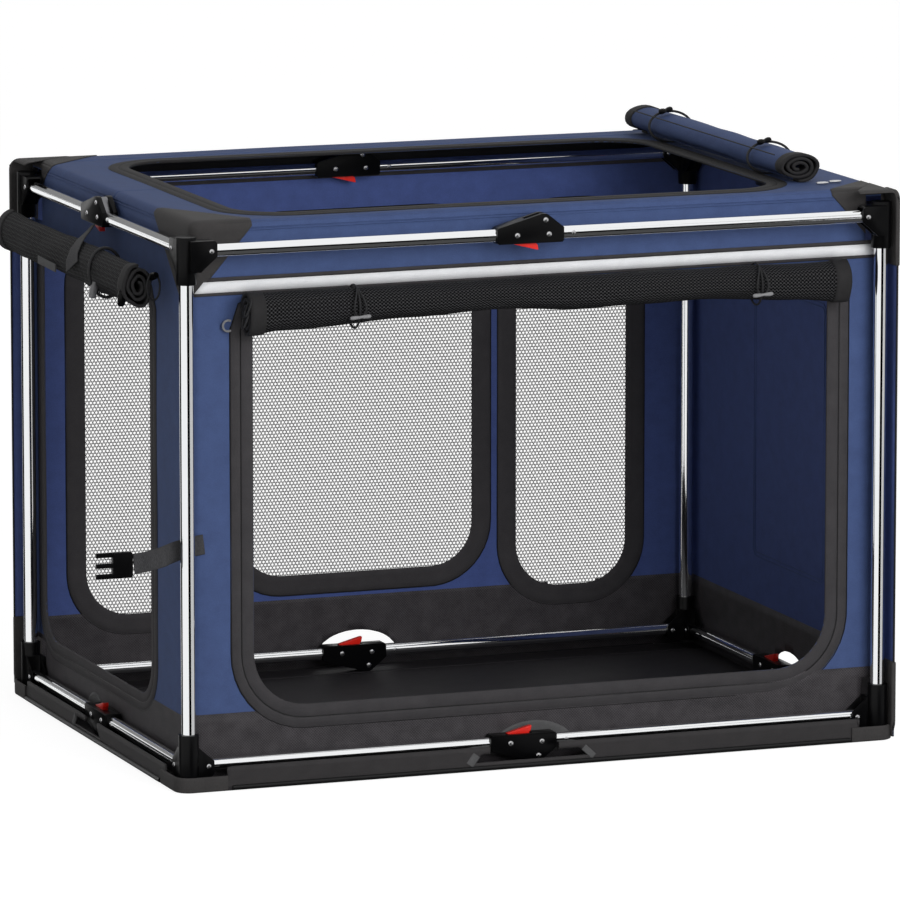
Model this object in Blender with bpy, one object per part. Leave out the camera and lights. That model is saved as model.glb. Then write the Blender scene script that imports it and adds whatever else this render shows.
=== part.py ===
"""Soft folding dog crate: chrome tube frame with folding rails, and a fabric cover.

The frame's four posts stay upright. Every rail has a lock in its middle. The top rails
fold down and the bottom rails fold up, so the posts come together in width and in depth.
Origin: middle of the four posts, on the underside of the base. +X right, +Y back, +Z up.
"""
from math import cos, pi, sin

import bmesh
import bpy
from mathutils import Matrix, Vector

MM = 0.001

# Frame: post spacing and rail heights
POST_SPACING_X = 880 * MM
POST_SPACING_Y = 615.5 * MM
RAIL_HEIGHT_LOW = 28 * MM
RAIL_HEIGHT_TOP = 642 * MM
POST_RADIUS = 8.5 * MM
RAIL_RADIUS = 7.5 * MM
GAP = 0.3 * MM
OVERRUN = 5 * MM

# Corner connectors
SOCKET_RADIUS = 12 * MM
SOCKET_CAP = 16 * MM
SOCKET_DEPTH = 40 * MM
POST_INSET = 8 * MM
CHEEK = 2 * MM
ARM_PIVOT = 25 * MM
ARM_REACH = 32 * MM
ARM_RISE = 12.5 * MM
ARM_WEB = 2 * MM
ARM_DROP = 9 * MM
ARM_CORNER = 3 * MM
GUSSET_DROP = 24 * MM
PIN_RADIUS = 2 * MM
PIN_PLAY = 0.3 * MM
TUBE_TAIL = 6 * MM

# Rail locks, sizes measured from the lock's hinge along the rail and from the rail's axis
HINGE_RISE = 17 * MM
LOCK_BACK = 60 * MM
LOCK_FRONT = 24 * MM
LOCK_FLOOR = 10 * MM
LOCK_SHOULDER = 9.5 * MM
LOCK_CHAMFER = 2 * MM
LOCK_PEAK_WIDTH = 4 * MM
HINGE_BOSS = 7.5 * MM
TUBE_STOP = 30 * MM
TONGUE_THICKNESS = 8 * MM
TONGUE_HALF_HEIGHT = 5.8 * MM
TONGUE_BOSS = 6.8 * MM
TONGUE_ROOT = 16 * MM
TONGUE_NOSE = 10 * MM
TONGUE_NOSE_LOW = 3 * MM
SLOT_BACK = 13 * MM
SLOT_BACK_TOP = 24 * MM
SLOT_BACK_STEP = 9.2 * MM
LEVER_THICKNESS = 7 * MM
LEVER_PIVOT = 37 * MM
LEVER_TAIL = 6 * MM
LEVER_DROP = 18.5 * MM
LEVER_EDGE = 1 * MM
LEVER_HOOK = 5.5 * MM
LEVER_NECK = 3 * MM
LEVER_BODY = 22 * MM
LEVER_HEAD = 5.5 * MM
LEVER_SHOULDER = 2 * MM
LEVER_TRAVEL = 5 * MM

# Fabric cover
CLOTH = 3 * MM
ROOF_CLEARANCE = 2.5 * MM
WALL_CLEARANCE = 0.7 * MM
FLANGE = 4 * MM
SLIT_CLEARANCE = 1.5 * MM
SLIT_HEIGHT = 4 * MM
RIGHT_WALL_CLEARANCE = 5 * MM

# Doorways, roof opening and access cut-outs; the head lies below the top rails' axis
FRONT_DOOR_MARGIN = 75 * MM
FRONT_DOOR_SILL = 90 * MM
DOOR_HEAD = 77 * MM
FRONT_DOOR_RADIUS = 65 * MM
LEFT_DOOR_FRONT = 175 * MM
LEFT_DOOR_BACK = 20 * MM
LEFT_DOOR_SILL = 77 * MM
LEFT_DOOR_RADIUS = 45 * MM
ROOF_SIDE_MARGIN = 82 * MM
ROOF_RIGHT_MARGIN = 118 * MM
ROOF_FRONT_MARGIN = 42 * MM
ROOF_BACK_MARGIN = 88 * MM
ROOF_RADIUS = 60 * MM
ACCESS_HALF_WIDTH = 55 * MM
ACCESS_TOP = 49 * MM
ACCESS_BOTTOM = 16 * MM

# Rear windows and their nets; the head lies below the top rails' axis
WINDOW_HEAD = 77 * MM
WINDOW_POST = 54 * MM
WINDOW_RADIUS = 58 * MM
SIDE_WINDOW_MARGIN = 71 * MM
SIDE_WINDOW_WIDTH = 156 * MM
SIDE_WINDOW_SILL = 89 * MM
MIDDLE_WINDOW_SILL = 124 * MM
NET_THICKNESS = 1 * MM
NET_PITCH = 39 * MM
NET_CORD = 8 * MM

# Base tray
BASE_THICKNESS = 3 * MM
BASE_LEFT = 16 * MM
BASE_FRONT = 12.5 * MM
LIP_HEIGHT = 17.5 * MM
LIP_END = 36 * MM
LIP_NOTCH = 70 * MM
LIP_SLANT = 10 * MM

# Rolled doors, which drop from the top rails' axis, and roof flap
ROLL_SHEET = 2.6 * MM
FRONT_ROLL_HEIGHT = 48 * MM
FRONT_ROLL_DEPTH = 44 * MM
FRONT_ROLL_DROP = 59 * MM
FRONT_ROLL_INSET = 62 * MM
LEFT_ROLL_HEIGHT = 56 * MM
LEFT_ROLL_WIDTH = 34 * MM
LEFT_ROLL_DROP = 42 * MM
LEFT_ROLL_FRONT = 100 * MM
LEFT_ROLL_BACK = 4 * MM
LEFT_ROLL_CLEARANCE = 1.2 * MM
ROOF_ROLL_HEIGHT = 36 * MM
ROOF_ROLL_WIDTH = 56 * MM
ROOF_ROLL_GAP = 8 * MM
ROOF_ROLL_FRONT = 75 * MM
ROOF_ROLL_BACK = 35 * MM
ROLL_TURNS = 3
ROLL_STEPS = 16

# Loose webbing strap with its side-release buckle half
STRAP_THICKNESS = 1.5 * MM
STRAP_WIDTH = 24 * MM
STRAP_HEIGHT = 285 * MM
STRAP_SEWN = 14 * MM
STRAP_BEND = 45 * MM
STRAP_SAG = 13 * MM
STRAP_END = 62 * MM
BUCKLE_LENGTH = 24 * MM
BUCKLE_WIDTH = 30 * MM
BUCKLE_THICKNESS = 9 * MM
PRONG_LENGTH = 20 * MM
PRONG_WIDTH = 5 * MM
PRONG_THICKNESS = 5 * MM
BUCKLE_CORNER = 3 * MM

# Values worked out from the sizes above
HALF_X = POST_SPACING_X / 2
HALF_Y = POST_SPACING_Y / 2
TUBE_ROOM = RAIL_RADIUS + GAP
LOCK_HALF_WIDTH = TUBE_ROOM + CHEEK
RAIL_OFFSET = LOCK_HALF_WIDTH + GAP
LOCK_PEAK = HINGE_RISE + HINGE_BOSS
ROOF_LOW = RAIL_HEIGHT_TOP + LOCK_PEAK + ROOF_CLEARANCE
ROOF_HIGH = ROOF_LOW + CLOTH
WALL_LOW = BASE_THICKNESS + GAP
WALL_HIGH = ROOF_LOW - GAP
WALL_LEFT = -HALF_X + SOCKET_RADIUS + WALL_CLEARANCE
WALL_FRONT = -HALF_Y + RAIL_OFFSET + LOCK_HALF_WIDTH + WALL_CLEARANCE
WALL_BACK = HALF_Y + RAIL_OFFSET + LOCK_HALF_WIDTH + FLANGE - WALL_CLEARANCE
WALL_RIGHT = HALF_X + LOCK_HALF_WIDTH + RIGHT_WALL_CLEARANCE
FLANGE_LEFT = -HALF_X - SOCKET_RADIUS - WALL_CLEARANCE
FLANGE_FRONT = -HALF_Y - SOCKET_RADIUS - WALL_CLEARANCE
BASE_EDGE_LEFT = -HALF_X - BASE_LEFT
BASE_EDGE_FRONT = -HALF_Y - BASE_FRONT
BASE_EDGE_RIGHT = WALL_RIGHT + CLOTH
BASE_EDGE_BACK = WALL_BACK + CLOTH
DOOR_TOP = RAIL_HEIGHT_TOP - DOOR_HEAD
WINDOW_TOP = RAIL_HEIGHT_TOP - WINDOW_HEAD
WINDOW_OUTER = HALF_X - SIDE_WINDOW_MARGIN
WINDOW_INNER = WINDOW_OUTER - SIDE_WINDOW_WIDTH
MIDDLE_WINDOW = WINDOW_INNER - WINDOW_POST
FRONT_ROLL_TOP = RAIL_HEIGHT_TOP - FRONT_ROLL_DROP
LEFT_ROLL_TOP = RAIL_HEIGHT_TOP - LEFT_ROLL_DROP

ROUND_SIDES = 20
PIN_SIDES = 8
CORNER_STEPS = 5
ACCESS_STEPS = 10

# Names with the side in X (-1 left, 1 right) and in Y (-1 front, 1 back)
CORNERS = {
    "front_left": (-1, -1),
    "front_right": (1, -1),
    "rear_left": (-1, 1),
    "rear_right": (1, 1),
}
LEVELS = {"top": 1, "bottom": -1}


def clear_scene():
    """Remove what the scene holds."""
    for thing in list(bpy.data.objects):
        bpy.data.objects.remove(thing, do_unlink=True)


def material(name, color, roughness, metallic):
    """Make a Principled material."""
    made = bpy.data.materials.new(name)
    made.use_nodes = True
    shader = made.node_tree.nodes["Principled BSDF"]
    shader.inputs["Base Color"].default_value = (*color, 1)
    shader.inputs["Roughness"].default_value = roughness
    shader.inputs["Metallic"].default_value = metallic
    return made


def add_object(name, mesh, look, place=None):
    """Link a mesh as a named object, with its material, at a location."""
    made = bpy.data.objects.new(name, mesh)
    bpy.context.scene.collection.objects.link(made)
    mesh.materials.clear()
    mesh.materials.append(look)
    if place is not None:
        made.location = place
    return made


def prism_mesh(name, outline, low, high, axis):
    """Extrude an outline from low to high along axis X, Y or Z.

    The outline's two coordinates are (Y, Z), (X, Z) or (X, Y).
    """
    shape = bmesh.new()
    spots = {
        "X": lambda a, b: (low, a, b),
        "Y": lambda a, b: (a, low, b),
        "Z": lambda a, b: (a, b, low),
    }
    way = {"X": (1, 0, 0), "Y": (0, 1, 0), "Z": (0, 0, 1)}
    corners = [shape.verts.new(spots[axis](a, b)) for a, b in outline]
    face = shape.faces.new(corners)
    grown = bmesh.ops.extrude_face_region(shape, geom=[face])
    moved = [item for item in grown["geom"] if isinstance(item, bmesh.types.BMVert)]
    bmesh.ops.translate(shape, verts=moved, vec=Vector(way[axis]) * (high - low))
    bmesh.ops.recalc_face_normals(shape, faces=shape.faces)
    mesh = bpy.data.meshes.new(name)
    shape.to_mesh(mesh)
    shape.free()
    return mesh


def box_mesh(name, low, high):
    """Make a box between two corners."""
    outline = [(low[0], low[1]), (high[0], low[1]), (high[0], high[1]), (low[0], high[1])]
    return prism_mesh(name, outline, low[2], high[2], "Z")


def rod_mesh(name, radius, start, end, sides):
    """Make a round rod between two points."""
    start = Vector(start)
    along = Vector(end) - start
    shape = bmesh.new()
    bmesh.ops.create_cone(
        shape, cap_ends=True, segments=sides, radius1=radius, radius2=radius, depth=along.length
    )
    turn = along.to_track_quat("Z", "Y").to_matrix().to_4x4()
    middle = Matrix.Translation(start + along / 2)
    bmesh.ops.transform(shape, matrix=middle @ turn, verts=shape.verts)
    mesh = bpy.data.meshes.new(name)
    shape.to_mesh(mesh)
    shape.free()
    return mesh


def combine(name, first, joined, cut):
    """Join meshes to the first one, cut others out of it, and return the result."""
    scene = bpy.context.scene
    body = bpy.data.objects.new(name, first)
    scene.collection.objects.link(body)
    tools = []
    for operation, meshes in (("UNION", joined), ("DIFFERENCE", cut)):
        for mesh in meshes:
            tool = bpy.data.objects.new(mesh.name, mesh)
            scene.collection.objects.link(tool)
            tools.append(tool)
            step = body.modifiers.new(mesh.name, "BOOLEAN")
            step.operation = operation
            step.solver = "EXACT"
            step.object = tool
    ready = body.evaluated_get(bpy.context.evaluated_depsgraph_get())
    result = bpy.data.meshes.new_from_object(ready)
    result.name = name
    for thing in [body, *tools]:
        bpy.data.objects.remove(thing, do_unlink=True)
    return result


def moved_mesh(name, mesh, matrix):
    """Copy a mesh moved by a matrix, which may mirror it."""
    copy = mesh.copy()
    copy.name = name
    copy.transform(matrix)
    if matrix.determinant() < 0:
        copy.flip_normals()
    return copy


def joined_mesh(name, meshes):
    """Join meshes that don't touch each other."""
    shape = bmesh.new()
    for mesh in meshes:
        shape.from_mesh(mesh)
    joined = bpy.data.meshes.new(name)
    shape.to_mesh(joined)
    shape.free()
    return joined


def arc(centre, radius, start, end, steps):
    """Points on an arc from one angle to another, in radians."""
    spots = [start + (end - start) * k / steps for k in range(steps + 1)]
    return [(centre[0] + radius * cos(a), centre[1] + radius * sin(a)) for a in spots]


def rounded_rectangle(low, high, radius):
    """Outline of a rectangle with round corners, counterclockwise."""
    points = []
    for sx, sy, first in ((1, 1, 0), (-1, 1, 1), (-1, -1, 2), (1, -1, 3)):
        corner = (high[0] if sx > 0 else low[0], high[1] if sy > 0 else low[1])
        centre = (corner[0] - sx * radius, corner[1] - sy * radius)
        points += arc(centre, radius, first * pi / 2, (first + 1) * pi / 2, CORNER_STEPS)
    return points


def smooth(mesh):
    """Shade round sides smooth and keep the edges sharp."""
    mesh.shade_smooth()
    mesh.set_sharp_from_angle(angle=pi / 6)


# Corner connectors


def arm_outline():
    """Side view of a connector's arm with its gusset: (away from the post, up)."""
    return [
        (0, ARM_RISE),
        (ARM_REACH - ARM_CORNER, ARM_RISE),
        (ARM_REACH, ARM_RISE - ARM_CORNER),
        (ARM_REACH, -ARM_DROP + ARM_CORNER),
        (ARM_REACH - ARM_CORNER, -ARM_DROP),
        (SOCKET_RADIUS + ARM_CORNER, -GUSSET_DROP + ARM_CORNER),
        (SOCKET_RADIUS, -GUSSET_DROP),
        (0, -GUSSET_DROP),
    ]


def turned_to_y(mesh):
    """Swap X and Y, so that an arm along X runs along Y."""
    swap = Matrix(((0, 1, 0, 0), (1, 0, 0, 0), (0, 0, 1, 0), (0, 0, 0, 1)))
    return moved_mesh(mesh.name, mesh, swap)


def arm_meshes(offset):
    """An arm along X, its channel and its pin, all moved sideways by offset."""
    half = LOCK_HALF_WIDTH
    body = prism_mesh("arm", arm_outline(), offset - half, offset + half, "Y")
    room = ARM_PIVOT - SOCKET_RADIUS - 2 * GAP
    channel = box_mesh(
        "channel",
        (ARM_PIVOT - room + GAP, offset - TUBE_ROOM, -GUSSET_DROP - OVERRUN),
        (ARM_REACH + OVERRUN, offset + TUBE_ROOM, ARM_RISE - ARM_WEB),
    )
    pin = rod_mesh(
        "pin",
        PIN_RADIUS,
        (ARM_PIVOT, offset - half + CHEEK / 2, 0),
        (ARM_PIVOT, offset + half - CHEEK / 2, 0),
        PIN_SIDES,
    )
    return body, channel, pin


def connector_mesh(name, offset):
    """A corner connector with its post socket below and arms along +X and +Y."""
    socket = rod_mesh(
        "socket", SOCKET_RADIUS, (0, 0, -SOCKET_DEPTH), (0, 0, SOCKET_CAP), ROUND_SIDES
    )
    bore = rod_mesh(
        "bore",
        POST_RADIUS + GAP,
        (0, 0, -SOCKET_DEPTH - OVERRUN),
        (0, 0, POST_INSET + GAP),
        ROUND_SIDES,
    )
    long_arm, long_channel, long_pin = arm_meshes(offset)
    short = [turned_to_y(mesh) for mesh in arm_meshes(0)]
    bodies = combine("bodies", socket, [long_arm, short[0]], [bore, long_channel, short[1]])
    made = combine(name, bodies, [long_pin, short[2]], [])
    smooth(made)
    return made


def add_connectors(look):
    """Eight connectors, the bottom ones upside down."""
    for level, up in LEVELS.items():
        base = connector_mesh("connector", -up * RAIL_OFFSET)
        height = RAIL_HEIGHT_TOP if up > 0 else RAIL_HEIGHT_LOW
        for corner, (sx, sy) in CORNERS.items():
            name = f"connector_{level}_{corner}"
            turn = Matrix.Diagonal((-sx, -sy, up, 1))
            mesh = moved_mesh(name, base, turn)
            add_object(name, mesh, look, (sx * HALF_X, sy * HALF_Y, height))


def add_posts(look):
    """Four upright tubes between the connectors."""
    low = RAIL_HEIGHT_LOW - POST_INSET
    high = RAIL_HEIGHT_TOP + POST_INSET
    for corner, (sx, sy) in CORNERS.items():
        name = f"post_{corner}"
        mesh = rod_mesh(name, POST_RADIUS, (0, 0, low), (0, 0, high), ROUND_SIDES)
        smooth(mesh)
        add_object(name, mesh, look, (sx * HALF_X, sy * HALF_Y, 0))


# Rail halves and locks, drawn with the rail along X and the lock's hinge above x = 0


def tube_mesh(name, start, end, pivot):
    """A rail half with the pin hole at its corner end."""
    tube = rod_mesh(name, RAIL_RADIUS, (start, 0, 0), (end, 0, 0), ROUND_SIDES)
    reach = RAIL_RADIUS + OVERRUN
    hole = rod_mesh("hole", PIN_RADIUS + PIN_PLAY, (pivot, -reach, 0), (pivot, reach, 0), PIN_SIDES)
    return combine(name, tube, [], [hole])


def tongue_outline():
    """Side view of the tongue that turns on the lock's hinge."""
    half = TONGUE_HALF_HEIGHT
    boss = arc((0, HINGE_RISE), TONGUE_BOSS, 0, pi, CORNER_STEPS)
    return [
        *boss,
        (-TONGUE_NOSE, TONGUE_NOSE_LOW + TONGUE_HALF_HEIGHT),
        (-TONGUE_NOSE, TONGUE_NOSE_LOW),
        (-TONGUE_NOSE / 2, TONGUE_NOSE_LOW),
        (0, -half),
        (LOCK_FRONT + TONGUE_ROOT, -half),
        (LOCK_FRONT + TONGUE_ROOT, half),
        (TONGUE_NOSE + TONGUE_BOSS / 2, half),
    ]


def housing_side_mesh(name, length):
    """The rail half that is fixed in the lock's housing."""
    pivot = -(length - ARM_PIVOT)
    return tube_mesh(name, pivot - TUBE_TAIL, -TUBE_STOP, pivot)


def tongue_side_mesh(name, length):
    """The rail half that carries the tongue."""
    pivot = length - ARM_PIVOT
    tube = tube_mesh(name, LOCK_FRONT + 2 * GAP, pivot + TUBE_TAIL, pivot)
    half = TONGUE_THICKNESS / 2
    tongue = prism_mesh("tongue", tongue_outline(), -half, half, "Y")
    hole = rod_mesh(
        "hinge_hole",
        PIN_RADIUS + PIN_PLAY,
        (0, -half - OVERRUN, HINGE_RISE),
        (0, half + OVERRUN, HINGE_RISE),
        PIN_SIDES,
    )
    return combine(name, tube, [tongue], [hole])


def housing_outline():
    """Side view of the lock's housing: (along the rail, up)."""
    side = LOCK_SHOULDER - LOCK_CHAMFER
    peak = arc((0, HINGE_RISE), HINGE_BOSS, pi / 4, pi / 2, CORNER_STEPS)
    return [
        (-LOCK_BACK, side),
        (-LOCK_BACK, -side),
        (-LOCK_BACK + LOCK_CHAMFER, -LOCK_FLOOR),
        (LOCK_FRONT - LOCK_CHAMFER, -LOCK_FLOOR),
        (LOCK_FRONT, -side),
        (LOCK_FRONT, side),
        *peak,
        (-LOCK_PEAK_WIDTH, LOCK_PEAK),
        (-LOCK_BACK + LOCK_CHAMFER, LOCK_SHOULDER),
    ]


def tongue_slot_outline():
    """Room in which the tongue turns up and over."""
    low = -TONGUE_HALF_HEIGHT - GAP
    high = LOCK_PEAK + OVERRUN
    return [
        (-SLOT_BACK, low),
        (LOCK_FRONT + OVERRUN, low),
        (LOCK_FRONT + OVERRUN, high),
        (-SLOT_BACK_TOP, high),
        (-SLOT_BACK_TOP, SLOT_BACK_STEP),
        (-SLOT_BACK, SLOT_BACK_STEP),
    ]


def lever_slot_outline():
    """Room in which the release lever turns up into the housing."""
    left = -LEVER_PIVOT - GAP
    right = -LEVER_TAIL + LEVER_EDGE
    return [
        (left, -LOCK_FLOOR - OVERRUN),
        (right, -LOCK_FLOOR - OVERRUN),
        (right, -LEVER_HEAD + LEVER_TRAVEL),
        (-TUBE_STOP + LEVER_EDGE, -LEVER_HEAD + LEVER_TRAVEL),
        (-TUBE_STOP + LEVER_EDGE, -TUBE_ROOM - GAP),
        (left, -TUBE_ROOM - GAP),
    ]


def housing_mesh(name):
    """The lock's housing: two cheeks, the tube's seat and the slots."""
    body = prism_mesh(name, housing_outline(), -LOCK_HALF_WIDTH, LOCK_HALF_WIDTH, "Y")
    seat = rod_mesh(
        "seat", TUBE_ROOM, (-LOCK_BACK - OVERRUN, 0, 0), (-TUBE_STOP + GAP, 0, 0), ROUND_SIDES
    )
    tongue_half = TONGUE_THICKNESS / 2 + GAP
    lever_half = LEVER_THICKNESS / 2 + GAP
    tongue_slot = prism_mesh("tongue_slot", tongue_slot_outline(), -tongue_half, tongue_half, "Y")
    lever_slot = prism_mesh("lever_slot", lever_slot_outline(), -lever_half, lever_half, "Y")
    shell = combine("shell", body, [], [seat, tongue_slot, lever_slot])
    reach = LOCK_HALF_WIDTH - CHEEK / 2
    pin = rod_mesh(
        "hinge_pin", PIN_RADIUS, (0, -reach, HINGE_RISE), (0, reach, HINGE_RISE), PIN_SIDES
    )
    return combine(name, shell, [pin], [])


def lever_outline():
    """Side view of the release lever, with its thin end at its pivot."""
    top = -LOCK_FLOOR - GAP / 2
    return [
        (-LEVER_PIVOT, top),
        (-LEVER_PIVOT, top - LEVER_EDGE),
        (-LEVER_TAIL - LEVER_NECK, -LEVER_DROP),
        (-LEVER_TAIL, -LEVER_DROP - LEVER_EDGE / 2),
        (-LEVER_TAIL - LEVER_EDGE, -LEVER_DROP + LEVER_HOOK),
        (-LEVER_TAIL - LEVER_NECK, top - LEVER_EDGE),
        (-LEVER_TAIL - LEVER_NECK, -LEVER_HEAD),
        (-LEVER_BODY, -LEVER_HEAD),
        (-LEVER_BODY - LEVER_SHOULDER, top + LEVER_EDGE),
    ]


def lever_mesh(name):
    """The red release lever."""
    half = LEVER_THICKNESS / 2
    return prism_mesh(name, lever_outline(), -half, half, "Y")


def rail_places():
    """Each rail's name, level, half names, half length, middle and turn.

    The lock's long side lies to the left on the front and rear rails, and to the
    rear on the side rails.
    """
    places = []
    for level, up in LEVELS.items():
        height = RAIL_HEIGHT_TOP if up > 0 else RAIL_HEIGHT_LOW
        for side, sy in (("front", -1), ("rear", 1)):
            middle = (0, sy * (HALF_Y + up * RAIL_OFFSET), height)
            places.append((f"{level}_{side}", up, ("left", "right"), HALF_X, middle, 0))
        for side, sx in (("left", -1), ("right", 1)):
            middle = (sx * HALF_X, 0, height)
            places.append((f"{level}_{side}", up, ("rear", "front"), HALF_Y, middle, -pi / 2))
    return places


def add_rails(tube_look, lock_look, lever_look):
    """Sixteen rail halves, eight lock housings and eight release levers."""
    housing = housing_mesh("lock")
    lever = lever_mesh("lever")
    halves = {
        length: (housing_side_mesh("half", length), tongue_side_mesh("half", length))
        for length in (HALF_X, HALF_Y)
    }
    for rail, up, ends, length, middle, angle in rail_places():
        turn = Matrix.Rotation(angle, 4, "Z") @ Matrix.Diagonal((1, 1, up, 1))
        pieces = [
            (f"rail_{rail}_{ends[0]}", halves[length][0], tube_look),
            (f"rail_{rail}_{ends[1]}", halves[length][1], tube_look),
            (f"lock_{rail}", housing, lock_look),
            (f"lever_{rail}", lever, lever_look),
        ]
        for name, base, look in pieces:
            mesh = moved_mesh(name, base, turn)
            smooth(mesh)
            add_object(name, mesh, look, middle)


# Fabric cover


def access_outline(middle):
    """Half-moon through which a hand reaches a lock from outside."""
    rise = ACCESS_TOP - ACCESS_BOTTOM
    spots = arc((0, 0), 1, 0, pi, ACCESS_STEPS)
    return [(middle + ACCESS_HALF_WIDTH * a, ACCESS_BOTTOM + rise * b) for a, b in spots]


def slit_boxes(name, axis, low, high, reach_low, reach_high):
    """Cut-outs for a rail and its connector, at the top and the bottom of a wall."""
    drop = SOCKET_DEPTH + SLIT_HEIGHT
    spans = [
        (WALL_LOW - OVERRUN, RAIL_HEIGHT_LOW + drop),
        (RAIL_HEIGHT_TOP - drop, WALL_HIGH + OVERRUN),
    ]
    boxes = []
    for bottom, top in spans:
        if axis == "X":
            boxes.append(box_mesh(name, (low, reach_low, bottom), (high, reach_high, top)))
        else:
            boxes.append(box_mesh(name, (reach_low, low, bottom), (reach_high, high, top)))
    return boxes


def add_front_wall(look):
    """Front wall with its doorway, slit for the right-hand rails."""
    low, high = WALL_LEFT, WALL_RIGHT - GAP
    near, far = WALL_FRONT, WALL_FRONT + CLOTH
    body = box_mesh("wall_front", (low, near, WALL_LOW), (high, far, WALL_HIGH))
    door = rounded_rectangle(
        (low + FRONT_DOOR_MARGIN, FRONT_DOOR_SILL),
        (high - FRONT_DOOR_MARGIN, DOOR_TOP),
        FRONT_DOOR_RADIUS,
    )
    hole = prism_mesh("door", door, near - OVERRUN, far + OVERRUN, "Y")
    slit_start = HALF_X - LOCK_HALF_WIDTH - SLIT_CLEARANCE
    slits = slit_boxes(
        "slit", "Y", near - OVERRUN, far + OVERRUN, slit_start, high + OVERRUN
    )
    add_object("wall_front", combine("wall_front", body, [], [hole, *slits]), look)


def add_left_wall(look):
    """Left wall with its doorway, slit for the rear rails."""
    low, high = WALL_LEFT, WALL_LEFT + CLOTH
    front, back = WALL_FRONT + CLOTH + GAP, WALL_BACK - GAP
    body = box_mesh("wall_left", (low, front, WALL_LOW), (high, back, WALL_HIGH))
    door = rounded_rectangle(
        (-HALF_Y + LEFT_DOOR_FRONT, LEFT_DOOR_SILL),
        (HALF_Y - LEFT_DOOR_BACK, DOOR_TOP),
        LEFT_DOOR_RADIUS,
    )
    hole = prism_mesh("door", door, low - OVERRUN, high + OVERRUN, "X")
    slit_start = HALF_Y - RAIL_OFFSET - LOCK_HALF_WIDTH - SLIT_CLEARANCE
    slits = slit_boxes(
        "slit", "X", low - OVERRUN, high + OVERRUN, slit_start, back + OVERRUN
    )
    add_object("wall_left", combine("wall_left", body, [], [hole, *slits]), look)


def window_corners():
    """Lower left and upper right corner of each rear window, by name."""
    return {
        "left": ((-WINDOW_OUTER, SIDE_WINDOW_SILL), (-WINDOW_INNER, WINDOW_TOP)),
        "middle": ((-MIDDLE_WINDOW, MIDDLE_WINDOW_SILL), (MIDDLE_WINDOW, WINDOW_TOP)),
        "right": ((WINDOW_INNER, SIDE_WINDOW_SILL), (WINDOW_OUTER, WINDOW_TOP)),
    }


def add_rear_wall(wall_look, net_look):
    """Rear wall outside the frame, with its windows and the half-moon that reaches its lower lock."""
    body = box_mesh(
        "wall_rear",
        (FLANGE_LEFT, WALL_BACK, WALL_LOW),
        (WALL_RIGHT + CLOTH, WALL_BACK + CLOTH, WALL_HIGH),
    )
    front, back = WALL_BACK - OVERRUN, WALL_BACK + CLOTH + OVERRUN
    holes = [prism_mesh("access", access_outline(0), front, back, "Y")]
    for side, (low, high) in window_corners().items():
        outline = rounded_rectangle(low, high, WINDOW_RADIUS)
        holes.append(prism_mesh("window", outline, front, back, "Y"))
        add_net(f"net_rear_{side}", low, high, net_look)
    add_object("wall_rear", combine("wall_rear", body, [], holes), wall_look)


def net_opening(low, high, middle, size):
    """Outline of one square opening of a net, or nothing where it would reach a round corner."""
    half_x, half_z = size[0] / 2, size[1] / 2
    reach_x = abs(middle[0] - (low[0] + high[0]) / 2) + half_x - (high[0] - low[0]) / 2
    reach_z = abs(middle[1] - (low[1] + high[1]) / 2) + half_z - (high[1] - low[1]) / 2
    from_corner = Vector((max(reach_x + WINDOW_RADIUS, 0), max(reach_z + WINDOW_RADIUS, 0)))
    if from_corner.length > WINDOW_RADIUS - NET_CORD / 2 + GAP:
        return None
    turns = ((-1, -1), (1, -1), (1, 1), (-1, 1))
    return [(middle[0] + a * half_x, middle[1] + b * half_z) for a, b in turns]


def add_net(name, low, high, look):
    """Net of a rear window, in the middle of the wall's thickness."""
    edge_low, edge_high = (low[0] + GAP, low[1] + GAP), (high[0] - GAP, high[1] - GAP)
    start = WALL_BACK + (CLOTH - NET_THICKNESS) / 2
    end = start + NET_THICKNESS
    outline = rounded_rectangle(edge_low, edge_high, WINDOW_RADIUS - GAP)
    columns = round((high[0] - low[0]) / NET_PITCH)
    rows = round((high[1] - low[1]) / NET_PITCH)
    pitch = ((high[0] - low[0]) / columns, (high[1] - low[1]) / rows)
    size = (pitch[0] - NET_CORD, pitch[1] - NET_CORD)
    holes = []
    for column in range(columns):
        for row in range(rows):
            middle = (low[0] + (column + 0.5) * pitch[0], low[1] + (row + 0.5) * pitch[1])
            square = net_opening(low, high, middle, size)
            if square:
                holes.append(prism_mesh("hole", square, start - OVERRUN, end + OVERRUN, "Y"))
    net = combine(name, prism_mesh(name, outline, start, end, "Y"), [], [joined_mesh("holes", holes)])
    add_object(name, net, look)


def add_right_wall(look):
    """Right wall outside the frame, with the half-moon that reaches its lower lock."""
    body = box_mesh(
        "wall_right",
        (WALL_RIGHT, FLANGE_FRONT, WALL_LOW),
        (WALL_RIGHT + CLOTH, WALL_BACK - GAP, WALL_HIGH),
    )
    hole = prism_mesh(
        "access", access_outline(0), WALL_RIGHT - OVERRUN, WALL_RIGHT + CLOTH + OVERRUN, "X"
    )
    add_object("wall_right", combine("wall_right", body, [], [hole]), look)


def add_roof(look):
    """Roof panel with its large opening."""
    body = box_mesh(
        "roof",
        (WALL_LEFT, WALL_FRONT, ROOF_LOW),
        (WALL_RIGHT + CLOTH, WALL_BACK + CLOTH, ROOF_HIGH),
    )
    opening = rounded_rectangle(
        (WALL_LEFT + ROOF_SIDE_MARGIN, WALL_FRONT + ROOF_FRONT_MARGIN),
        (WALL_RIGHT - ROOF_RIGHT_MARGIN, WALL_BACK - ROOF_BACK_MARGIN),
        ROOF_RADIUS,
    )
    hole = prism_mesh("opening", opening, ROOF_LOW - OVERRUN, ROOF_HIGH + OVERRUN, "Z")
    add_object("roof", combine("roof", body, [], [hole]), look)


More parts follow.
